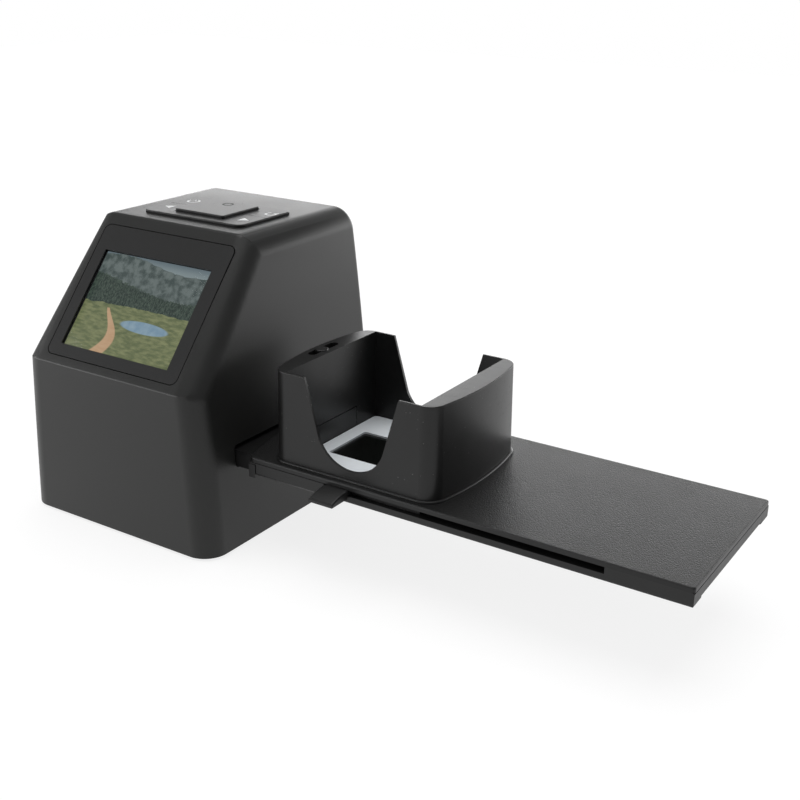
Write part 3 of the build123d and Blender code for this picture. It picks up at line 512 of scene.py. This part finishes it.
@dataclass(frozen=True)
class ClearCover(Finish):
    """A thin clear cover: a dark tint that mostly lets the piece below show."""

    alpha: float = 0.12
    smear: float = 7 * MM
    smear_sheen: float = 0.08

    def dress(self, shader: Shader) -> None:
        """Adds faint smears in the gloss and makes the cover clear."""
        smears = shader.noise(self.smear, 4.0, (2, 1, 1)).step(0.5, 0.8)
        shader.set(Alpha=self.alpha, Roughness=self.roughness + smears * self.smear_sheen)


@dataclass(frozen=True)
class Glowing(Finish):
    """Opal or phosphor plastic that can carry a faint light of its own."""

    glow: float = 0.0
    cloud: float = 1.4 * MM
    cloud_tone: float = 1.08
    cloud_depth: float = 0.01 * MM

    def dress(self, shader: Shader) -> None:
        """Adds a cloudy body and the light."""
        cloud = shader.noise(self.cloud, 3.0)
        shader.set(
            Base_Color=shader.blend(cloud, self.colour, self.toned(self.cloud_tone)),
            Emission_Color=self.colour,
            Emission_Strength=self.glow,
        )
        shader.bump(cloud, self.cloud_depth)


# ------------------------------------------------------------------ helpers


def corners(node: str) -> Corners:
    """The low and high corners of a node's box, in metres."""
    low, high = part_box(node)
    return Vector(low), Vector(high)


def paint(material: bpy.types.Material, *nodes: str) -> None:
    """Puts one material on every slot of the named nodes.

    Args:
        material: The material.
        nodes: The nodes' names.
    """
    for node in nodes:
        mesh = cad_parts[node].data
        if not mesh.materials:
            mesh.materials.append(material)
        for index in range(len(mesh.materials)):
            mesh.materials[index] = material


def clear_selection() -> None:
    """Leaves nothing selected and nothing active."""
    if bpy.context.object and bpy.context.object.mode != "OBJECT":
        bpy.ops.object.mode_set(mode="OBJECT")
    bpy.ops.object.select_all(action="DESELECT")
    bpy.context.view_layer.objects.active = None


def settle(piece: bpy.types.Object, material: bpy.types.Material, body: str) -> None:
    """Finishes a new piece: its material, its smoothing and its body.

    Args:
        piece: The piece, in place.
        material: What it is made of.
        body: The body that it rides on.
    """
    piece.data.materials.clear()
    piece.data.materials.append(material)
    clear_selection()
    piece.select_set(True)
    bpy.context.view_layer.objects.active = piece
    bpy.ops.object.shade_smooth_by_angle(angle=SMOOTH)
    clear_selection()
    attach(piece, body)


def block(name: str, size: Sequence[float], middle: Sequence[float]) -> bpy.types.Object:
    """A box at its size and place, with its object at the origin.

    Args:
        name: The piece's name.
        size: Its lengths along X, Y and Z.
        middle: Its centre.

    Returns:
        The piece.
    """
    clear_selection()
    bpy.ops.mesh.primitive_cube_add(size=1.0, location=middle, scale=size)
    piece = bpy.context.object
    piece.name = name
    piece.data.name = name
    bpy.ops.object.transform_apply(location=True, rotation=True, scale=True)
    return piece


def ease_edges(piece: bpy.types.Object, width: float, segments: int) -> None:
    """Rounds a piece's sharp edges with an applied Bevel modifier.

    Args:
        piece: The piece.
        width: The bevel's width.
        segments: How many steps it has.
    """
    bevel = piece.modifiers.new("ease", "BEVEL")
    bevel.width, bevel.segments = width, segments
    bevel.limit_method, bevel.angle_limit = "ANGLE", SHARP
    apply_modifiers(piece)


def apply_modifiers(piece: bpy.types.Object) -> None:
    """Applies every modifier of a piece, in order."""
    clear_selection()
    piece.select_set(True)
    bpy.context.view_layer.objects.active = piece
    for modifier in list(piece.modifiers):
        bpy.ops.object.modifier_apply(modifier=modifier.name)
    clear_selection()


def copy_of(node: str, name: str) -> bpy.types.Object:
    """A copy of a node's mesh as one merged skin, for a piece that replaces the node.

    Args:
        node: The node.
        name: The piece's name.

    Returns:
        The piece, with flat areas dissolved into single faces.
    """
    piece = bpy.data.objects.new(name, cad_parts[node].data.copy())
    bpy.context.scene.collection.objects.link(piece)
    clear_selection()
    piece.select_set(True)
    bpy.context.view_layer.objects.active = piece
    if piece.data.has_custom_normals:
        bpy.ops.mesh.customdata_custom_splitnormals_clear()
    bpy.ops.object.mode_set(mode="EDIT")
    bpy.ops.mesh.select_all(action="SELECT")
    bpy.ops.mesh.remove_doubles(threshold=0.002 * MM)
    bpy.ops.mesh.dissolve_limited(angle_limit=FLAT)
    bpy.ops.object.mode_set(mode="OBJECT")
    return piece


# ------------------------------------------------------------------ the studio


@dataclass(frozen=True)
class Panel:
    """One flat lamp: its size, its brightness, where it hangs and what it faces."""

    name: str
    width: float
    height: float
    brightness: float
    place: tuple[float, float, float]
    aim: tuple[float, float, float] = (0.0, 0.0, 0.05)


@dataclass
class Studio:
    """The camera, the light and the floor."""

    camera_mm: Sequence[float] = (204.92, -308.46, 195.25)
    azimuth: float = math.radians(32.717)
    elevation: float = math.radians(21.217)
    roll: float = math.radians(0.722)
    lens: float = 53.76
    sensor: float = 36.0
    sky: float = 0.32
    floor_half: float = 1.6
    floor_tone: float = 0.45
    seen_tone: float = 0.24
    seen_lift: float = 0.81
    panels: tuple[Panel, ...] = (
        Panel("overhead", 1.5, 1.5, 2.2, (-0.1, 0.0, 1.6)),
        Panel("backdrop", 4.4, 0.56, 4.2, (0.0, 1.7, 0.30), (0.0, 0.0, 0.30)),
        Panel("backdrop_left", 0.8, 0.4, 2.2, (-1.3, 1.6, 0.78), (-0.08, 0.0, 0.1)),
        Panel("left_key", 0.42, 0.5, 9.0, (-1.66, -0.66, 0.38), (0.0, 0.0, 0.08)),
        Panel("bend_strip", 1.1, 0.08, 26.0, (-1.15, -1.25, 0.22), (-0.08, -0.04, 0.06)),
    )

    def build(self) -> None:
        """Sets up the camera, the world, the lamps and the floor."""
        self.camera()
        self.world()
        self.lamps()
        self.floor()
        view = bpy.context.scene.view_settings
        view.view_transform = "Standard"
        log.info("studio ready")

    def camera(self) -> None:
        """Places the camera where the photograph was taken from."""
        a, e, r = self.azimuth, self.elevation, self.roll
        back = Vector((math.sin(a) * math.cos(e), -math.cos(a) * math.cos(e), math.sin(e)))
        level = Vector((math.cos(a), math.sin(a), 0.0))
        rise = back.cross(level)
        right = level * math.cos(r) + rise * math.sin(r)
        up = rise * math.cos(r) - level * math.sin(r)
        data = bpy.data.cameras.new("camera")
        data.lens = self.lens
        data.sensor_width = self.sensor
        data.clip_start, data.clip_end = 0.01, 50.0
        camera = bpy.data.objects.new("camera", data)
        turn = Matrix((right, up, back)).transposed().to_4x4()
        camera.matrix_world = Matrix.Translation(Vector(self.camera_mm) * MM) @ turn
        bpy.context.scene.collection.objects.link(camera)
        bpy.context.scene.camera = camera

    def world(self) -> None:
        """An even white surround, plain white where the camera sees it."""
        world = bpy.data.worlds.new("surround")
        world.use_nodes = True
        nodes, links = world.node_tree.nodes, world.node_tree.links
        nodes.clear()
        path = nodes.new("ShaderNodeLightPath")
        seen = nodes.new("ShaderNodeBackground")
        lit = nodes.new("ShaderNodeBackground")
        mix = nodes.new("ShaderNodeMixShader")
        out = nodes.new("ShaderNodeOutputWorld")
        seen.inputs[0].default_value = (1, 1, 1, 1)
        seen.inputs[1].default_value = 1.0
        lit.inputs[0].default_value = (0.985, 0.99, 1.0, 1)
        lit.inputs[1].default_value = self.sky
        links.new(path.outputs["Is Camera Ray"], mix.inputs[0])
        links.new(lit.outputs[0], mix.inputs[1])
        links.new(seen.outputs[0], mix.inputs[2])
        links.new(mix.outputs[0], out.inputs[0])
        bpy.context.scene.world = world

    def lamps(self) -> None:
        """Hangs the panels: overhead, behind, at the left, and the strip that the bend mirrors."""
        for panel in self.panels:
            data = bpy.data.lights.new(panel.name, "AREA")
            data.shape = "RECTANGLE"
            data.size, data.size_y = panel.width, panel.height
            data.energy = math.pi * panel.width * panel.height * panel.brightness
            lamp = bpy.data.objects.new(panel.name, data)
            lamp.location = panel.place
            lamp.rotation_mode = "QUATERNION"
            lamp.rotation_quaternion = (Vector(panel.place) - Vector(panel.aim)).to_track_quat("Z", "Y")
            lamp.visible_camera = False
            bpy.context.scene.collection.objects.link(lamp)

    def floor(self) -> None:
        """A white floor, plain white to the camera apart from the object's shadow."""
        clear_selection()
        bpy.ops.mesh.primitive_plane_add(size=2 * self.floor_half, location=(0, 0, 0))
        floor = bpy.context.object
        floor.name = "floor"
        shader = Shader("floor")
        shader.set(Base_Color=(self.floor_tone,) * 3, Roughness=0.9, Specular_IOR_Level=0.0)
        shade = shader.node("ShaderNodeBsdfDiffuse", {"Color": (*(self.seen_tone,) * 3, 1)})
        lift = shader.node("ShaderNodeEmission", {"Color": (1, 1, 1, 1), "Strength": self.seen_lift})
        both = shader.node("ShaderNodeAddShader", {0: shade.outputs[0], 1: lift.outputs[0]})
        path = shader.node("ShaderNodeLightPath", {})
        glossy = Value(shader, path.outputs["Is Glossy Ray"])
        share = Value(shader, path.outputs["Is Camera Ray"]).larger(glossy)
        mix = shader.node(
            "ShaderNodeMixShader", {0: share, 1: shader.surface.outputs[0], 2: both.outputs[0]}
        )
        shader.tree.links.new(mix.outputs[0], shader.output.inputs[0])
        floor.data.materials.append(shader.material)


# ------------------------------------------------------------------ the screen


@dataclass(frozen=True)
class Scenery(Finish):
    """A made-up landscape on the display: hills, a wood, a lake and a field.

    Places in the picture run from 0 to 1, rightwards and upwards.
    """

    centre: Vector = Vector((0, 0, 0))
    slope: float = 0.0
    width: float = 48.96 * MM
    height: float = 36.72 * MM
    face_depth: float = 0.2 * MM
    border: float = 0.002
    hill_line: float = 0.95
    wood_line: float = 0.72
    meadow_line: float = 0.47
    lake_place: tuple[float, float] = (0.63, 0.33)
    lake_reach: tuple[float, float] = (0.21, 0.055)
    trail_place: float = 0.30
    trail_sway: float = 0.07
    trail_half: float = 0.012
    trail_spread: float = 0.12

    def dress(self, shader: Shader) -> None:
        """Paints the picture in the display's own plane."""
        place = shader.node(
            "ShaderNodeVectorMath", {0: shader.place(), 1: tuple(self.centre)}, operation="SUBTRACT"
        )
        turned = shader.node(
            "ShaderNodeVectorRotate",
            {"Vector": place.outputs[0], "Angle": -self.slope},
            rotation_type="X_AXIS",
        )
        x, y, z = shader.axes(turned.outputs[0])
        u = x / self.width + 0.5
        v = y / self.height + 0.5
        ripple = shader.noise(2.4 * MM, 5.0)
        grass = shader.noise(1.3 * MM, 5.0, (2.5, 0.6, 1.0))
        picture = self.land(shader, u, v, ripple, grass)
        picture = self.lake(shader, u, v, ripple, picture)
        picture = self.trail(shader, u, v, grass, picture)
        inside = (u - 0.5).inside(0.5, self.border) * (v - 0.5).inside(0.5, self.border)
        lit = inside * (z > -self.face_depth)
        shader.set(
            Base_Color=shader.blend(lit, self.colour, (0.01, 0.01, 0.01)),
            Emission_Color=shader.blend(lit, (0.0, 0.0, 0.0), picture),
            Emission_Strength=1.0,
        )

    def land(self, shader: Shader, u: Value, v: Value, ripple: Value, grass: Value) -> Any:
        """The sky, the hills, the wood and the meadow, from the back to the front.

        Args:
            shader: The display's shader.
            u: The place across the picture.
            v: The place up the picture.
            ripple: Coarse noise.
            grass: Noise drawn out across the picture.

        Returns:
            The colour socket.
        """
        trees = shader.noise(0.9 * MM, 4.0, (0.6, 1.4, 1.0))
        sky = shader.blend(v.step(0.9, 1.0), (0.20, 0.25, 0.26), (0.12, 0.16, 0.18))
        far = self.hill_line + (u * 5.2 + 0.6).sine() * 0.05 + (ripple - 0.5) * 0.05
        hills = shader.blend(ripple.step(0.35, 0.65), (0.045, 0.065, 0.062), (0.125, 0.155, 0.15))
        near = self.wood_line + (u * 3.1 + 2.2).sine() * 0.08 + (trees - 0.5) * 0.09
        wood = shader.blend(trees.step(0.35, 0.7), (0.012, 0.024, 0.019), (0.060, 0.088, 0.068))
        edge = self.meadow_line + (u * 2.0 + 0.4).sine() * 0.03 + (grass - 0.5) * 0.03
        meadow = shader.blend(grass.step(0.3, 0.75), (0.10, 0.125, 0.055), (0.21, 0.23, 0.11))
        picture = sky
        for line, layer in ((far, hills), (near, wood), (edge, meadow)):
            picture = shader.blend((v < line), picture, layer)
        return picture

    def lake(self, shader: Shader, u: Value, v: Value, ripple: Value, picture: Any) -> Any:
        """Lays the lake over the picture, with a soft shore."""
        across = (u - self.lake_place[0]) / self.lake_reach[0]
        up = (v - self.lake_place[1]) / self.lake_reach[1]
        shore = (across * across + up * up).step(0.92, 1.25)
        water = shader.blend(ripple, (0.10, 0.20, 0.30), (0.30, 0.40, 0.46))
        return shader.blend(shore, water, picture)

    def trail(self, shader: Shader, u: Value, v: Value, grass: Value, picture: Any) -> Any:
        """Lays the trail over the picture, wider towards the front."""
        bend = self.trail_place + (v * 9.0).sine() * self.trail_sway
        half = self.trail_half + (0.46 - v).larger(0) * self.trail_spread
        share = (1 - (abs(u - bend) / half).step(0.8, 1.1)) * (1 - v.step(0.44, 0.46))
        return shader.blend(share, picture, shader.blend(grass, (0.42, 0.25, 0.13), (0.55, 0.38, 0.24)))


@dataclass
class Screen:
    """The display in its frame on the slope."""

    outward: Vector = field(default_factory=lambda: Vector((0, -math.sin(SLOPE), math.cos(SLOPE))))
    picture_depth: float = 0.45 * MM
    cover_height: float = 40.7 * MM
    cover_thickness: float = 0.75 * MM
    cover_lift: float = 0.04 * MM
    cover_edge: float = 0.12 * MM

    def build(self) -> None:
        """Dresses the plate, the cover, the display and its bracket."""
        low, high = corners("screen_glass")
        centre = (low + high) / 2 - self.outward * self.picture_depth
        picture = Scenery("display", (0.05, 0.05, 0.055), 0.4, centre=centre, slope=SLOPE)
        paint(picture.build(), "screen_module")
        self.cover(low, high)
        plate = MouldedPlastic("screen_frame", (0.016, 0.016, 0.016), 0.4, mottle=0.06)
        paint(plate.build(), "screen_plate")
        paint(SatinPlastic("inner_black", (0.012, 0.012, 0.012), 0.5).build(), "screen_bracket")
        log.info("screen dressed")

    def cover(self, low: Vector, high: Vector) -> None:
        """The clear cover, with ground edges, a hair above the display.

        Args:
            low: The low corner of the cover's solid.
            high: Its high corner.
        """
        size = (high.x - low.x, self.cover_height, self.cover_thickness)
        cover = block("display_cover", size, (0, 0, 0))
        ease_edges(cover, self.cover_edge, 2)
        place = Matrix.Translation((low + high) / 2 + self.outward * self.cover_lift)
        cover.data.transform(place @ Matrix.Rotation(SLOPE, 4, "X"))
        finish = ClearCover("screen_cover", (0.01, 0.01, 0.012), 0.1, alpha=0.06)
        settle(cover, finish.build(), "scanner")
        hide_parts("screen_glass")


# ------------------------------------------------------------------ the rest of the scanner


class Material(Enum):
    """The finishes that go straight onto nodes, or that several pieces share."""

    HOUSING = MouldedPlastic("housing", (0.0125, 0.0127, 0.0120), 0.42, specular=0.42)
    STEEL = BrushedMetal("screw_steel", (0.56, 0.56, 0.58), 0.25)
    SPRING = BrushedMetal("spring_steel", (0.60, 0.60, 0.62), 0.2)
    SOCKET = BrushedMetal("socket_metal", (0.62, 0.62, 0.63), 0.22)
    RUBBER = Rubber("rubber", (0.012, 0.012, 0.012), 0.75)
    BOARD = BoardLaminate("circuit_board", (0.012, 0.085, 0.035), 0.35)
    CHIP = SatinPlastic("chip_black", (0.012, 0.012, 0.013), 0.5)
    BLACK = MouldedPlastic("light_tight_black", (0.009, 0.009, 0.009), 0.62)
    WHITE = MouldedPlastic("reflector_white", (0.80, 0.80, 0.78), 0.5, mottle=0.03)
    OPAL = Glowing("opal", (0.82, 0.84, 0.86), 0.4)
    PHOSPHOR = Glowing("phosphor", (0.86, 0.80, 0.42), 0.4)
    PIPE = Glowing("light_pipe", (0.022, 0.022, 0.022), 0.42)
    LENS = ClearCover("lens_glass", (0.25, 0.20, 0.35), 0.03, alpha=0.45)


@dataclass
class Scanner:
    """The housing with what it carries inside."""

    draft: float = 0.2 * MM
    bend_height: float = BEND_MM * MM
    slope_run: float = SLOPE_RUN_MM * MM
    brow_crease: float = 2.4 * MM
    bend_share: float = 0.42
    crease_segments: int = 6
    crease_angle: float = math.radians(4)
    crease_reach: float = 0.12 * MM
    crease_span: float = 3.0 * MM
    plain: dict[Material, tuple[str, ...]] = field(
        default_factory=lambda: {
            Material.HOUSING: ("base_plate",),
            Material.RUBBER: ("rubber_feet",),
            Material.STEEL: (
                "case_screws",
                "screen_screws",
                "key_board_screws",
                "board_screws",
                "tray_screws",
            ),
            Material.SPRING: ("holder_springs", "key_switches"),
            Material.SOCKET: ("card_socket", "usb_socket"),
            Material.BOARD: ("key_board", "led_board", "main_board"),
            Material.CHIP: ("board_chips", "image_sensor"),
            Material.BLACK: ("film_gate", "film_mask", "camera_tunnel", "lens_barrel"),
            Material.WHITE: ("light_box",),
            Material.OPAL: ("light_diffuser",),
            Material.PHOSPHOR: ("backlight_leds", "status_light"),
            Material.PIPE: ("light_pipe",),
            Material.LENS: ("lens_glass",),
        }
    )

    def build(self) -> None:
        """Dresses every node that keeps its solid's shape."""
        for finish, nodes in self.plain.items():
            paint(finish.value.build(), *nodes)
        self.housing()
        log.info("scanner dressed")

    def housing(self) -> None:
        """The shell, with the creases across its front and its top softened."""
        shell = copy_of("housing_shell", "housing")
        count = self.mark_creases(shell)
        bevel = shell.modifiers.new("crease", "BEVEL")
        bevel.limit_method = "WEIGHT"
        bevel.width, bevel.segments = self.brow_crease, self.crease_segments
        apply_modifiers(shell)
        settle(shell, Material.HOUSING.value.build(), "scanner")
        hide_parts("housing_shell")
        log.info("housing: %d crease edges softened", count)

    def creases(self) -> list[tuple[Vector, Vector, float]]:
        """The bend and the brow.

        Returns:
            For each, a point on it, the normal of the plane that halves it, and how much
            of the brow's bevel it takes.
        """
        low, high = corners("housing_shell")
        front, top = Vector((0, -1, 0)), Vector((0, 0, 1))
        slope = Vector((0, -math.sin(SLOPE), math.cos(SLOPE)))
        bend = Vector((0, low.y + self.draft, low.z + self.bend_height))
        brow = Vector((0, low.y + self.draft + self.slope_run, high.z))
        return [
            (bend, (slope - front).normalized(), self.bend_share),
            (brow, (top - slope).normalized(), 1.0),
        ]

    def mark_creases(self, shell: bpy.types.Object) -> int:
        """Gives the creases' edges their bevel weights.

        Args:
            shell: The housing's piece.

        Returns:
            How many edges were marked.
        """
        mesh = bmesh.new()
        mesh.from_mesh(shell.data)
        weight = mesh.edges.layers.float.new("bevel_weight_edge")
        creases = self.creases()
        count = 0
        for edge in mesh.edges:
            if len(edge.link_faces) != 2 or not edge.is_convex:
                continue
            if edge.calc_face_angle(0.0) < self.crease_angle:
                continue
            for point, normal, share in creases:
                offsets = [Vector((0, *(corner.co - point).yz)) for corner in edge.verts]
                near = all(offset.length < self.crease_span for offset in offsets)
                if near and all(abs(offset.dot(normal)) < self.crease_reach for offset in offsets):
                    edge[weight] = share
                    count += 1
        mesh.to_mesh(shell.data)
        mesh.free()
        return count


@dataclass
class KeyPad:
    """The five keys on the top and the marks printed on four of them."""

    keys: tuple[str, ...] = ("power_key", "left_key", "right_key", "back_key")
    # How far below a key's upper face the painted shade on its sides starts.
    shade_drop: float = 0.42 * MM
    ink: float = 0.04 * MM
    stroke: float = 0.75 * MM
    ring_stroke: float = 0.5 * MM
    ring_radius: float = 1.78 * MM
    power_place: tuple[float, float] = (-94.8 * MM, 16.2 * MM)
    power_radius: float = 2.1 * MM
    power_gap: float = math.radians(44)
    power_bar: float = 2.0 * MM
    power_bar_shift: float = 0.75
    left_place: tuple[float, float] = (-95.3 * MM, 4.4 * MM)
    right_place: tuple[float, float] = (-60.4 * MM, 3.4 * MM)
    arrow_radius: float = 2.4 * MM
    back_place: tuple[float, float] = (-58.4 * MM, 15.9 * MM)
    back_radius: float = 1.9 * MM
    back_start: float = math.radians(40)
    back_sweep: float = math.radians(275)
    back_head: float = 1.25 * MM
    arc_steps: int = 28
    corner_round: float = 0.22 * MM
    key_colour: Colour = (0.0185, 0.0185, 0.0185)
    ink_colour: Colour = (0.70, 0.71, 0.71)
    top: float = field(init=False)
    white: bpy.types.Material = field(init=False)

    def build(self) -> None:
        """Dresses the keys and adds their marks."""
        self.top = corners("power_key")[1].z
        high_key = corners("enter_key")[1]
        self.dress("key_black", self.top, *self.keys)
        self.dress("key_enter", high_key.z, "enter_key")
        self.white = MouldedPlastic("key_ink", self.ink_colour, 0.5, grain_depth=0.004 * MM).build()
        self.power_mark()
        self.triangle("left_mark", self.left_place, math.pi, "left_button")
        self.triangle("right_mark", self.right_place, 0.0, "right_button")
        self.back_mark()
        self.status_ring(high_key.z)
        log.info("keys dressed")

    def dress(self, name: str, top: float, *nodes: str) -> None:
        """Paints keys whose upper faces are at one height, with painted shade on their sides below it.

        Args:
            name: The finish's name.
            top: That height.
            nodes: The keys' nodes.
        """
        # The height below which the keys' sides carry painted shade.
        shade_height = top - self.shade_drop
        paint(KeyPlastic(name, self.key_colour, 0.42, mottle=0.05, shade_height=shade_height).build(), *nodes)

    def arc(
        self,
        name: str,
        place: tuple[float, float, float],
        radius: float,
        start: float,
        sweep: float,
        stroke: float,
    ) -> bpy.types.Object:
        """A printed stroke along part of a circle.

        Args:
            name: The piece's name.
            place: The circle's centre on the key's upper face.
            radius: Its radius.
            start: Where the stroke starts, as an angle from +X.
            sweep: How far it goes round.
            stroke: The stroke's width.

        Returns:
            The piece, closed at both ends.
        """
        clear_selection()
        x, y, top = place
        middle = top + self.ink / 2
        bpy.ops.mesh.primitive_plane_add(
            size=1.0,
            location=(x + radius * math.cos(start), y + radius * math.sin(start), middle),
            rotation=(math.pi / 2, 0, start),
        )
        piece = bpy.context.object
        piece.name = name
        piece.scale = (stroke, self.ink, 1.0)
        bpy.ops.object.transform_apply(location=True, rotation=True, scale=True)
        bpy.ops.object.mode_set(mode="EDIT")
        bpy.ops.mesh.select_all(action="SELECT")
        bpy.ops.mesh.spin(steps=self.arc_steps, angle=sweep, center=(x, y, middle), axis=(0, 0, 1))
        bpy.ops.mesh.select_all(action="SELECT")
        bpy.ops.mesh.remove_doubles(threshold=0.001 * MM)
        bpy.ops.mesh.fill_holes(sides=0)
        bpy.ops.mesh.normals_make_consistent(inside=False)
        bpy.ops.object.mode_set(mode="OBJECT")
        return piece

    def wedge(
        self, name: str, place: tuple[float, float], radius: float, heading: float
    ) -> bpy.types.Object:
        """A printed triangle with eased corners.

        Args:
            name: The piece's name.
            place: Its centre on the key.
            radius: The distance from its centre to its corners.
            heading: Where it points, as an angle from +X.

        Returns:
            The piece.
        """
        clear_selection()
        bpy.ops.mesh.primitive_circle_add(
            vertices=3,
            radius=radius,
            fill_type="NGON",
            location=(*place, self.top),
            rotation=(0, 0, heading - math.pi / 2),
        )
        piece = bpy.context.object
        piece.name = name
        bpy.ops.object.transform_apply(location=True, rotation=True, scale=True)
        bpy.ops.object.mode_set(mode="EDIT")
        bpy.ops.mesh.select_all(action="SELECT")
        bpy.ops.mesh.bevel(affect="VERTICES", offset=self.corner_round, segments=3)
        bpy.ops.mesh.select_all(action="SELECT")
        bpy.ops.mesh.extrude_region_move(TRANSFORM_OT_translate={"value": (0, 0, self.ink)})
        bpy.ops.mesh.select_all(action="SELECT")
        bpy.ops.mesh.normals_make_consistent(inside=False)
        bpy.ops.object.mode_set(mode="OBJECT")
        return piece

    def joined(self, first: bpy.types.Object, second: bpy.types.Object) -> bpy.types.Object:
        """Two pieces made one."""
        clear_selection()
        second.select_set(True)
        first.select_set(True)
        bpy.context.view_layer.objects.active = first
        bpy.ops.object.join()
        return bpy.context.object

    def power_mark(self) -> None:
        """The power mark: a ring open at the back, with a bar in the opening."""
        start = math.pi / 2 + self.power_gap / 2
        sweep = math.tau - self.power_gap
        x, y = self.power_place
        ring = self.arc("power_mark", (x, y, self.top), self.power_radius, start, sweep, self.stroke)
        bar = block(
            "power_bar",
            (self.stroke, self.power_bar, self.ink),
            (x, y + self.power_radius * self.power_bar_shift, self.top + self.ink / 2),
        )
        ease_edges(bar, self.ink / 4, 1)
        settle(self.joined(ring, bar), self.white, "power_button")

    def status_ring(self, top: float) -> None:
        """The dark ring round the status light.

        Args:
            top: The height of the middle key's upper face.
        """
        low, high = corners("light_pipe")
        place = ((low.x + high.x) / 2, (low.y + high.y) / 2, top)
        ring = self.arc("status_ring", place, self.ring_radius, 0.0, math.tau, self.ring_stroke)
        settle(ring, Material.BLACK.value.build(), "enter_button")

    def triangle(self, name: str, place: tuple[float, float], heading: float, body: str) -> None:
        """One of the two solid triangles.

        Args:
            name: The piece's name.
            place: Its centre on the key.
            heading: Where it points, as an angle from +X.
            body: The key's body.
        """
        settle(self.wedge(name, place, self.arrow_radius, heading), self.white, body)

    def back_mark(self) -> None:
        """The return mark: most of a circle that ends in an arrow head."""
        x, y = self.back_place
        radius, start = self.back_radius, self.back_start
        turn = self.arc("back_mark", (x, y, self.top), radius, start, self.back_sweep, self.stroke)
        tip = (x + radius * math.cos(start), y + radius * math.sin(start))
        head = self.wedge("back_head", tip, self.back_head, start - math.pi / 2)
        settle(self.joined(turn, head), self.white, "back_button")


@dataclass
class Tray:
    """The feed tray with its hopper, pusher and slide."""

    body: Colour = (0.0125, 0.0125, 0.0125)
    hopper: Colour = (0.0105, 0.0105, 0.0105)
    mount: Colour = (0.84, 0.88, 0.91)
    film: Colour = (0.004, 0.0045, 0.004)

    def build(self) -> None:
        """Dresses the tray, the hopper, the pusher and the slide."""
        cover_top = corners("tray_cover")[1].z
        finishes = (
            (PebbledPlastic("tray_top", self.body, 0.40, top=cover_top), ("tray_cover",)),
            (SatinPlastic("tray_body", self.body, 0.42), ("tray_base", "pusher")),
            (
                SatinPlastic("hopper_black", self.hopper, 0.33, dust_share=0.8),
                ("slide_hopper", "hopper_hatch"),
            ),
            (MouldedPlastic("slide_white", self.mount, 0.45, mottle=0.02), ("slide_mount",)),
            (SatinPlastic("film", self.film, 0.2), ("slide_film",)),
        )
        for finish, nodes in finishes:
            paint(finish.build(), *nodes)
        log.info("tray dressed")


# ------------------------------------------------------------------ building


def main() -> None:
    """Builds the scene piece by piece."""
    logging.basicConfig(level=logging.INFO, format="%(name)s: %(message)s")
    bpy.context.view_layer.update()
    Studio().build()
    Scanner().build()
    Screen().build()
    KeyPad().build()
    Tray().build()


if __name__ == "__main__":
    main()
